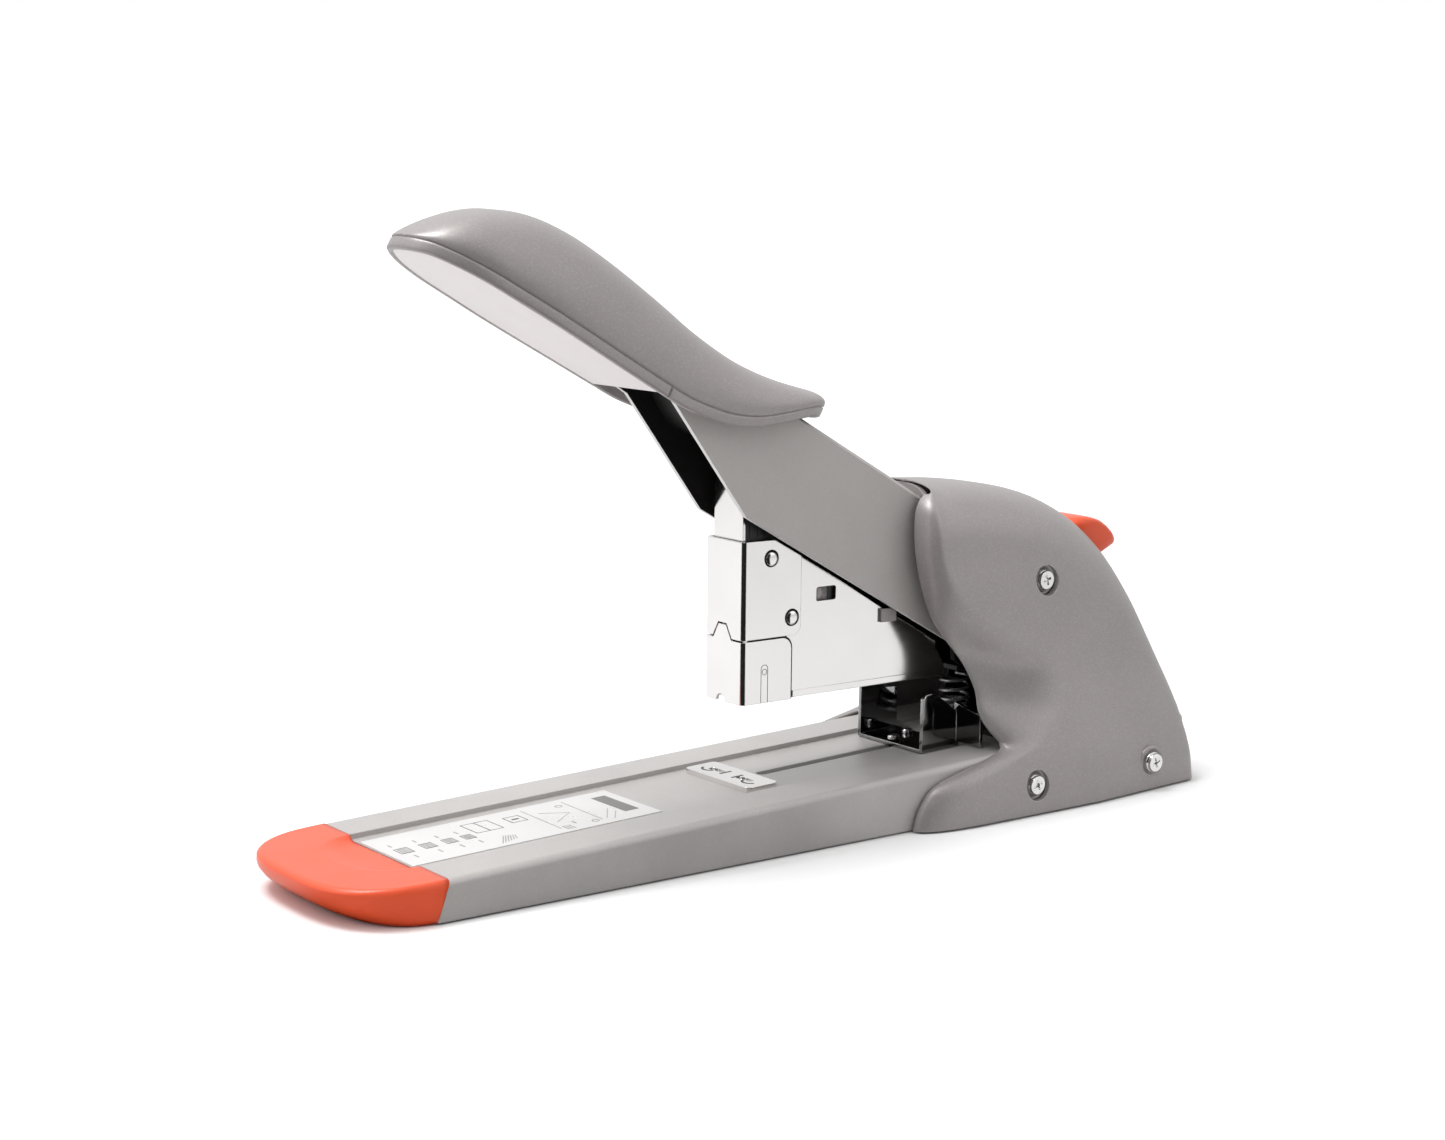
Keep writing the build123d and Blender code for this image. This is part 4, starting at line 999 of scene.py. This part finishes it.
# plain blade face and carrier that show above the head
CARRIER_HALF, RIB_OUT = 6.2, 6.36
RIB_FIRST, RIB_PITCH, RIB_LONG, RIB_TOP = 105.0, 2.6, 1.3, 95.0
blade = block("driver_plate", (102.85, -CARRIER_HALF, 52.5), (103.68, CARRIER_HALF, 94.5),
              "nickel", "driver")
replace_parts(sharpen(blade), "driver_blade")
for k in range(6):
    d = RIB_FIRST + RIB_PITCH * k
    for side_name, sign in SIDES:
        a, b = sorted((sign * CARRIER_HALF, sign * RIB_OUT))
        sharpen(block("carrier_rib_%s_%d" % (side_name, k + 1), (d, a, 79.0 + 0.2 * k),
                      (d + RIB_LONG, b, RIB_TOP), "black_steel", "driver"))
for held in frame["nodes"]["driver_carrier"].material_slots:
    held.material = M["black_steel"]
for side_name, sign in SIDES:
    # a flat disc in the arm's paint covers the end of the drive pin
    end = turned_piece("arm_pin_end_" + side_name,
                       [(0.0, 9.6), (2.3, 9.6), (2.3, 10.69), (3.1, 10.69), (3.1, 10.706),
                        (0.0, 10.706)], at(118.0, 0, 99.5), sign, "arm_plain", "handle")
    sharpen(end)


# ---- roof lip
LIP_HALF, ROOF_HALF = 11.2, 12.3
LIP_AT, LIP_TOP = 163.2, 89.2      # station and height in the middle
LIP_BACK, LIP_FALL = 3.2, 2.7      # how far the ends lie forward and down
LIP_THICK, LIP_DEEP = 1.4, 2.6
CREST_SLOPE = 1.06                 # steeper edge behind the arms' crest
ARM_CREST = (160.7, 86.2)          # where the arms' top edge turns down towards the shaft


def arm_top(d):
    """Height of the resting arms' top edge."""
    slope = math.tan(SLOPE) if d < ARM_CREST[0] else CREST_SLOPE
    return ARM_CREST[1] + (ARM_CREST[0] - d) * slope


rows = []
for k in range(25):
    y = LIP_HALF * (k / 12 - 1)
    bow = (abs(y) / ROOF_HALF) ** 2.1
    front, top = LIP_AT - LIP_BACK * bow, LIP_TOP - LIP_FALL * bow
    low = min(top - 0.3, max(top - LIP_DEEP, arm_top(front) + 0.5))
    back = front + LIP_THICK
    rows.append([at(front, y, top), at(back, y, top), at(back, y, low), at(front, y, low)])
sharpen(ring_prism("roof_lip", rows, "silver_plastic", "root"))

# ---- grip underside
BASE_REAR = -156.5
under = [(s, y, nx, ny) for (s, y), (nx, ny) in zip(loop, normals) if s <= BASE_REAR]
rows = []
for inset, rise in ((1.6, 1.7), (1.6, 0.5), (1.75, 0.25), (2.1, 0.14)):
    rows.append([on_arm(s - nx * inset, y - ny * inset, follow(GRIP_EDGE, s) + rise)
                 for s, y, nx, ny in under])
sharpen(ring_prism("grip_underside", rows, "pale_plastic", "handle", ["grip_base"]))

# ---- springs
EASE = 0.035               # the end turns lie closer together


def coil(name, start, end, radius, wire, turns, body, replaced):
    """Round wire wound about the line from start to end."""
    axis = end - start
    length = axis.length / MM
    axis.normalize()
    side = axis.orthogonal().normalized()
    other = axis.cross(side)
    steps, around = int(turns * 20), 8
    rows = []
    for k in range(steps + 1):
        share = k / steps
        ease = share - EASE * math.sin(4 * math.pi * share)
        turn = 2 * math.pi * turns * share
        out = side * math.cos(turn) + other * math.sin(turn)
        centre = start + axis * (wire + (length - 2 * wire) * ease) * MM + out * radius * MM
        row = []
        for j in range(around):
            angle = 2 * math.pi * j / around
            row.append(centre + (out * math.cos(angle) + axis * math.sin(angle)) * wire * MM)
        rows.append(row)
    return ring_prism(name, rows, "spring_steel", body, replaced)


def spring_box(node):
    """Low corner, high corner and middle of a CAD spring's box."""
    low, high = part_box(node)
    return low, high, (low + high) / 2


low, high, mid = spring_box("lift_spring")
lift = coil("lift_spring_coil", Vector((mid.x, mid.y, low.z)), Vector((mid.x, mid.y, high.z)),
            4.05, 0.5, 6, "root", ["lift_spring"])
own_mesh(lift)
low, high, mid = spring_box("pusher_spring")
push = coil("pusher_spring_coil", Vector((low.x, mid.y, mid.z)),
            Vector((high.x, mid.y, mid.z)), 2.05, 0.3, 16, "drawer", ["pusher_spring"])
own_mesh(push)
low, high, mid = spring_box("handle_spring")
coil("handle_spring_coil", Vector((mid.x, low.y, mid.z)), Vector((mid.x, high.y, mid.z)),
     4.75, 0.55, 6, "root", ["handle_spring"])
low, high, mid = spring_box("button_spring")
inner_end = mid - BUTTON_AXIS * 4.4 * MM
press = coil("button_spring_coil", inner_end, mid + BUTTON_AXIS * 4.4 * MM, 2.45, 0.35, 6,
             "root", ["button_spring"])
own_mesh(press)

# ---- label and anvil
LABEL_LIFT = -1.09


def on_label(u, v, lift):
    """Row point over the label: station, width, height over its face."""
    return at(u, v, rail(u, LABEL_LIFT + lift))


def outline_box(u, v, du, dv):
    """Closed path round a rectangle."""
    return [(u, v), (u + du, v), (u + du, v + dv), (u, v + dv), (u, v)]


grey_lines, soft_lines = [], []
for k, u in enumerate((3.2, 10.0, 16.2, 21.6)):
    size = 4.4 - 0.3 * k
    grey_lines.append((0.22, outline_box(u, -0.6 - size / 2, size * 0.8, size)))
    for j in range(5):
        v = -0.6 - size / 2 + size * (j + 0.5) / 5
        soft_lines.append((0.42, [(u + 0.4, v), (u + size * 0.8 - 0.3, v)]))
    soft_lines.append((0.5, [(u + 0.8, size / 2 + 1.6), (u + 0.8, size / 2 + 3.6)]))
    soft_lines.append((0.5, [(u + 1.8, -size / 2 - 3.2), (u + 1.8, -size / 2 - 5.4)]))
grey_lines += [(0.28, outline_box(26.4, 0.6, 7.6, 8.4)), (0.28, [(30.2, 0.6), (30.2, 9.0)]),
               (0.3, outline_box(38.0, 2.6, 4.4, 5.0)), (0.9, [(39.2, 5.1), (41.2, 5.1)])]
for j in range(6):
    soft_lines.append((0.3, [(26.6 + 1.0 * j, -11.0 + 0.3 * j),
                             (30.0 + 0.55 * j, -5.6 - 0.2 * j)]))
for u in (44.5, 57.0):
    soft_lines.append((0.24, [(u, -9.5), (u + 0.6, 10.5)]))
soft_lines += [(0.24, [(47.0, -4.0), (54.0, 1.2), (47.4, 5.6)]),
               (0.5, [(50.0, -8.0), (50.0, -6.0)]),
               (0.3, arc(55.0, 7.8, 0.9, 0, 360, 16)), (0.3, arc(55.0, -9.2, 0.9, 0, 360, 16)),
               (0.22, [(58.6, -9.0), (63.5, -2.0)]), (0.22, [(60.0, -10.5), (64.0, -5.0)])]
for j in range(3):
    soft_lines.append((0.4, [(45.8 + 0.9 * j, -8.2), (45.8 + 0.9 * j, -11.4)]))
plain_block = [(4.2, [(67.6, -7.2), (67.6, 8.6)])]
marks("label_outlines", grey_lines, on_label, "print_grey", "root")
marks("label_fills", soft_lines, on_label, "print_pale", "root")
marks("label_block", plain_block, on_label, "print_mid", "root")


def on_anvil(u, v, lift):
    """Row point over the anvil plate."""
    return at(u, v, rail(u, 0.15 + lift))


# painted shade: black lines stand in for the shade in the anvil's grooves
anvil_shade_lines = []
for side in (1, -1):
    anvil_shade_lines += [(0.7, arc(104.8, 8.8 * side, 2.6, 115, 245)),
                    (0.8, [(102.8, 2.6 * side), (106.6, 2.6 * side)])]
marks("anvil_groove_shade", anvil_shade_lines, on_anvil, "black_steel", "root")

# ---- release button
FACE = [(-8.0, 11.2), (-6.6, 10.95), (-1.9, 9.66), (2.59, 6.96), (6.42, 2.31), (8.62, -2.4)]
centre = at(BUTTON_AT[0], 0, BUTTON_AT[1])
rings = []
for share in (0.0, 0.5, 1.0, None, 1.0, 0.992, 0.975, 0.95, 0.91, 0.85, 0.75, 0.6, 0.4, 0.2, 0.0):
    first = len(rings) < 3
    ring = []
    for k in range(72):
        turn = 2 * math.pi * k / 72
        c, s = math.cos(turn), math.sin(turn)
        r = 1.0 if share is None else share
        y = BUTTON_HALF[0] * math.copysign(abs(c) ** 0.45, c) * r
        h = BUTTON_HALF[1] * math.copysign(abs(s) ** 0.45, s) * r
        along = -6.9 if first else follow(FACE, h) - 1.9 * (1 - math.sqrt(1 - min(1.0, r) ** 10))
        if share is None:
            along -= 0.6
        ring.append(centre + (BUTTON_AXIS * along + BUTTON_UP * h + Vector((0, y, 0))) * MM)
    rings.append(ring)
mesh_piece("button_cap", [v for ring in rings for v in ring], rows_to_faces(len(rings), 72),
           "orange_plastic", "button", ["release_button"])

# ---- floor and light
floor_mesh = bpy.data.meshes.new("floor")
shape = bmesh.new()
bmesh.ops.create_grid(shape, x_segments=2, y_segments=2, size=40.0)
shape.to_mesh(floor_mesh)
shape.free()
floor = bpy.data.objects.new("floor", floor_mesh)
bpy.context.scene.collection.objects.link(floor)
floor_paint = material("pale_floor", (0.97, 0.97, 0.97), 0.0, 0.8, 0.02, 3, 0.005,
                       specular=0.0)
# The floor differs by ray. It throws back less light than it shows, so that sides stay darker
# than tops, and reflections meet a dark patch on the side where the camera stands.
ground = Nodes(floor_paint.node_tree, keep=True)
shader = next(node for node in ground.tree.nodes if node.type == "BSDF_PRINCIPLED")
rays = ground.add("ShaderNodeLightPath")
seen = shader.inputs["Base Color"].links[0].from_socket
spot = ground.add("ShaderNodeVectorMath", operation="NORMALIZE")
ground.link(ground.add("ShaderNodeTexCoord").outputs["Object"], spot.inputs[0])
side_dot = ground.add("ShaderNodeVectorMath", operation="DOT_PRODUCT")
ground.link(spot.outputs[0], side_dot.inputs[0])
side_dot.inputs[1].default_value = (-math.sin(TURN), -math.cos(TURN), 0.0)
mirrored = ground.mix(ground.ramp(side_dot.outputs["Value"], 0.52, 0.66), grey(0.74), grey(0.01))
seen = ground.mix(rays.outputs["Is Glossy Ray"], seen, mirrored)
seen = ground.mix(rays.outputs["Is Diffuse Ray"], seen, grey(0.62))
ground.link(seen, shader.inputs["Base Color"])
far = ground.add("ShaderNodeVectorMath", operation="LENGTH")
ground.link(ground.add("ShaderNodeTexCoord").outputs["Object"], far.inputs[0])
glow = ground.math("MULTIPLY", ground.ramp(far.outputs["Value"], 0.35, 1.3, 0.0, 0.45),
              rays.outputs["Is Camera Ray"])
ground.link(glow, shader.inputs["Emission Strength"])
shader.inputs["Emission Color"].default_value = grey(1.0)
floor_mesh.materials.append(floor_paint)
floor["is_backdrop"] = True


def lamp(name, place, size, power, aim=Vector((0, 0, 0.06))):
    """Square soft light that points at the object."""
    data = bpy.data.lights.new(name, "AREA")
    data.size = size
    data.energy = power
    made = bpy.data.objects.new(name, data)
    bpy.context.scene.collection.objects.link(made)
    made.location = place
    made.rotation_euler = (aim - Vector(place)).to_track_quat("-Z", "Y").to_euler()


lamp("key_light", (-0.35, 0.25, 1.15), 0.5, 9.5)
lamp("front_light", (-1.2, 0.1, 0.55), 0.7, 1.2)
lamp("side_light", (0.75, -0.85, 0.75), 0.8, 0.8)

world = bpy.data.worlds.new("studio")
bpy.context.scene.world = world
world.use_nodes = True
air = Nodes(world.node_tree)
output = air.add("ShaderNodeOutputWorld")
path = air.add("ShaderNodeLightPath")
toward = air.add("ShaderNodeTexCoord").outputs["Generated"]
split = air.add("ShaderNodeSeparateXYZ")
air.link(toward, split.inputs[0])
compare = air.add("ShaderNodeVectorMath", operation="DOT_PRODUCT")
air.link(toward, compare.inputs[0])
compare.inputs[1].default_value = (-math.sin(TURN), -math.cos(TURN), 0.10)
# The world differs by ray too: diffuse light falls mostly from above, reflections see a pale
# room that is dark behind the camera, and the camera itself sees white.
soft = air.mix(air.ramp(split.outputs[2], 0.05, 0.55), grey(0.12), grey(0.86))
height = air.ramp(split.outputs[2], -0.2, 0.5, 0.70, 0.92)
room = air.mix(air.ramp(compare.outputs["Value"], 0.50, 0.66), height, grey(0.015))
shown = air.mix(path.outputs["Is Glossy Ray"], soft, room)
shown = air.mix(path.outputs["Is Camera Ray"], shown, grey(1.0))
sky = air.add("ShaderNodeBackground")
air.link(shown, sky.inputs[0])
air.link(sky.outputs[0], output.inputs[0])

low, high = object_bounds()
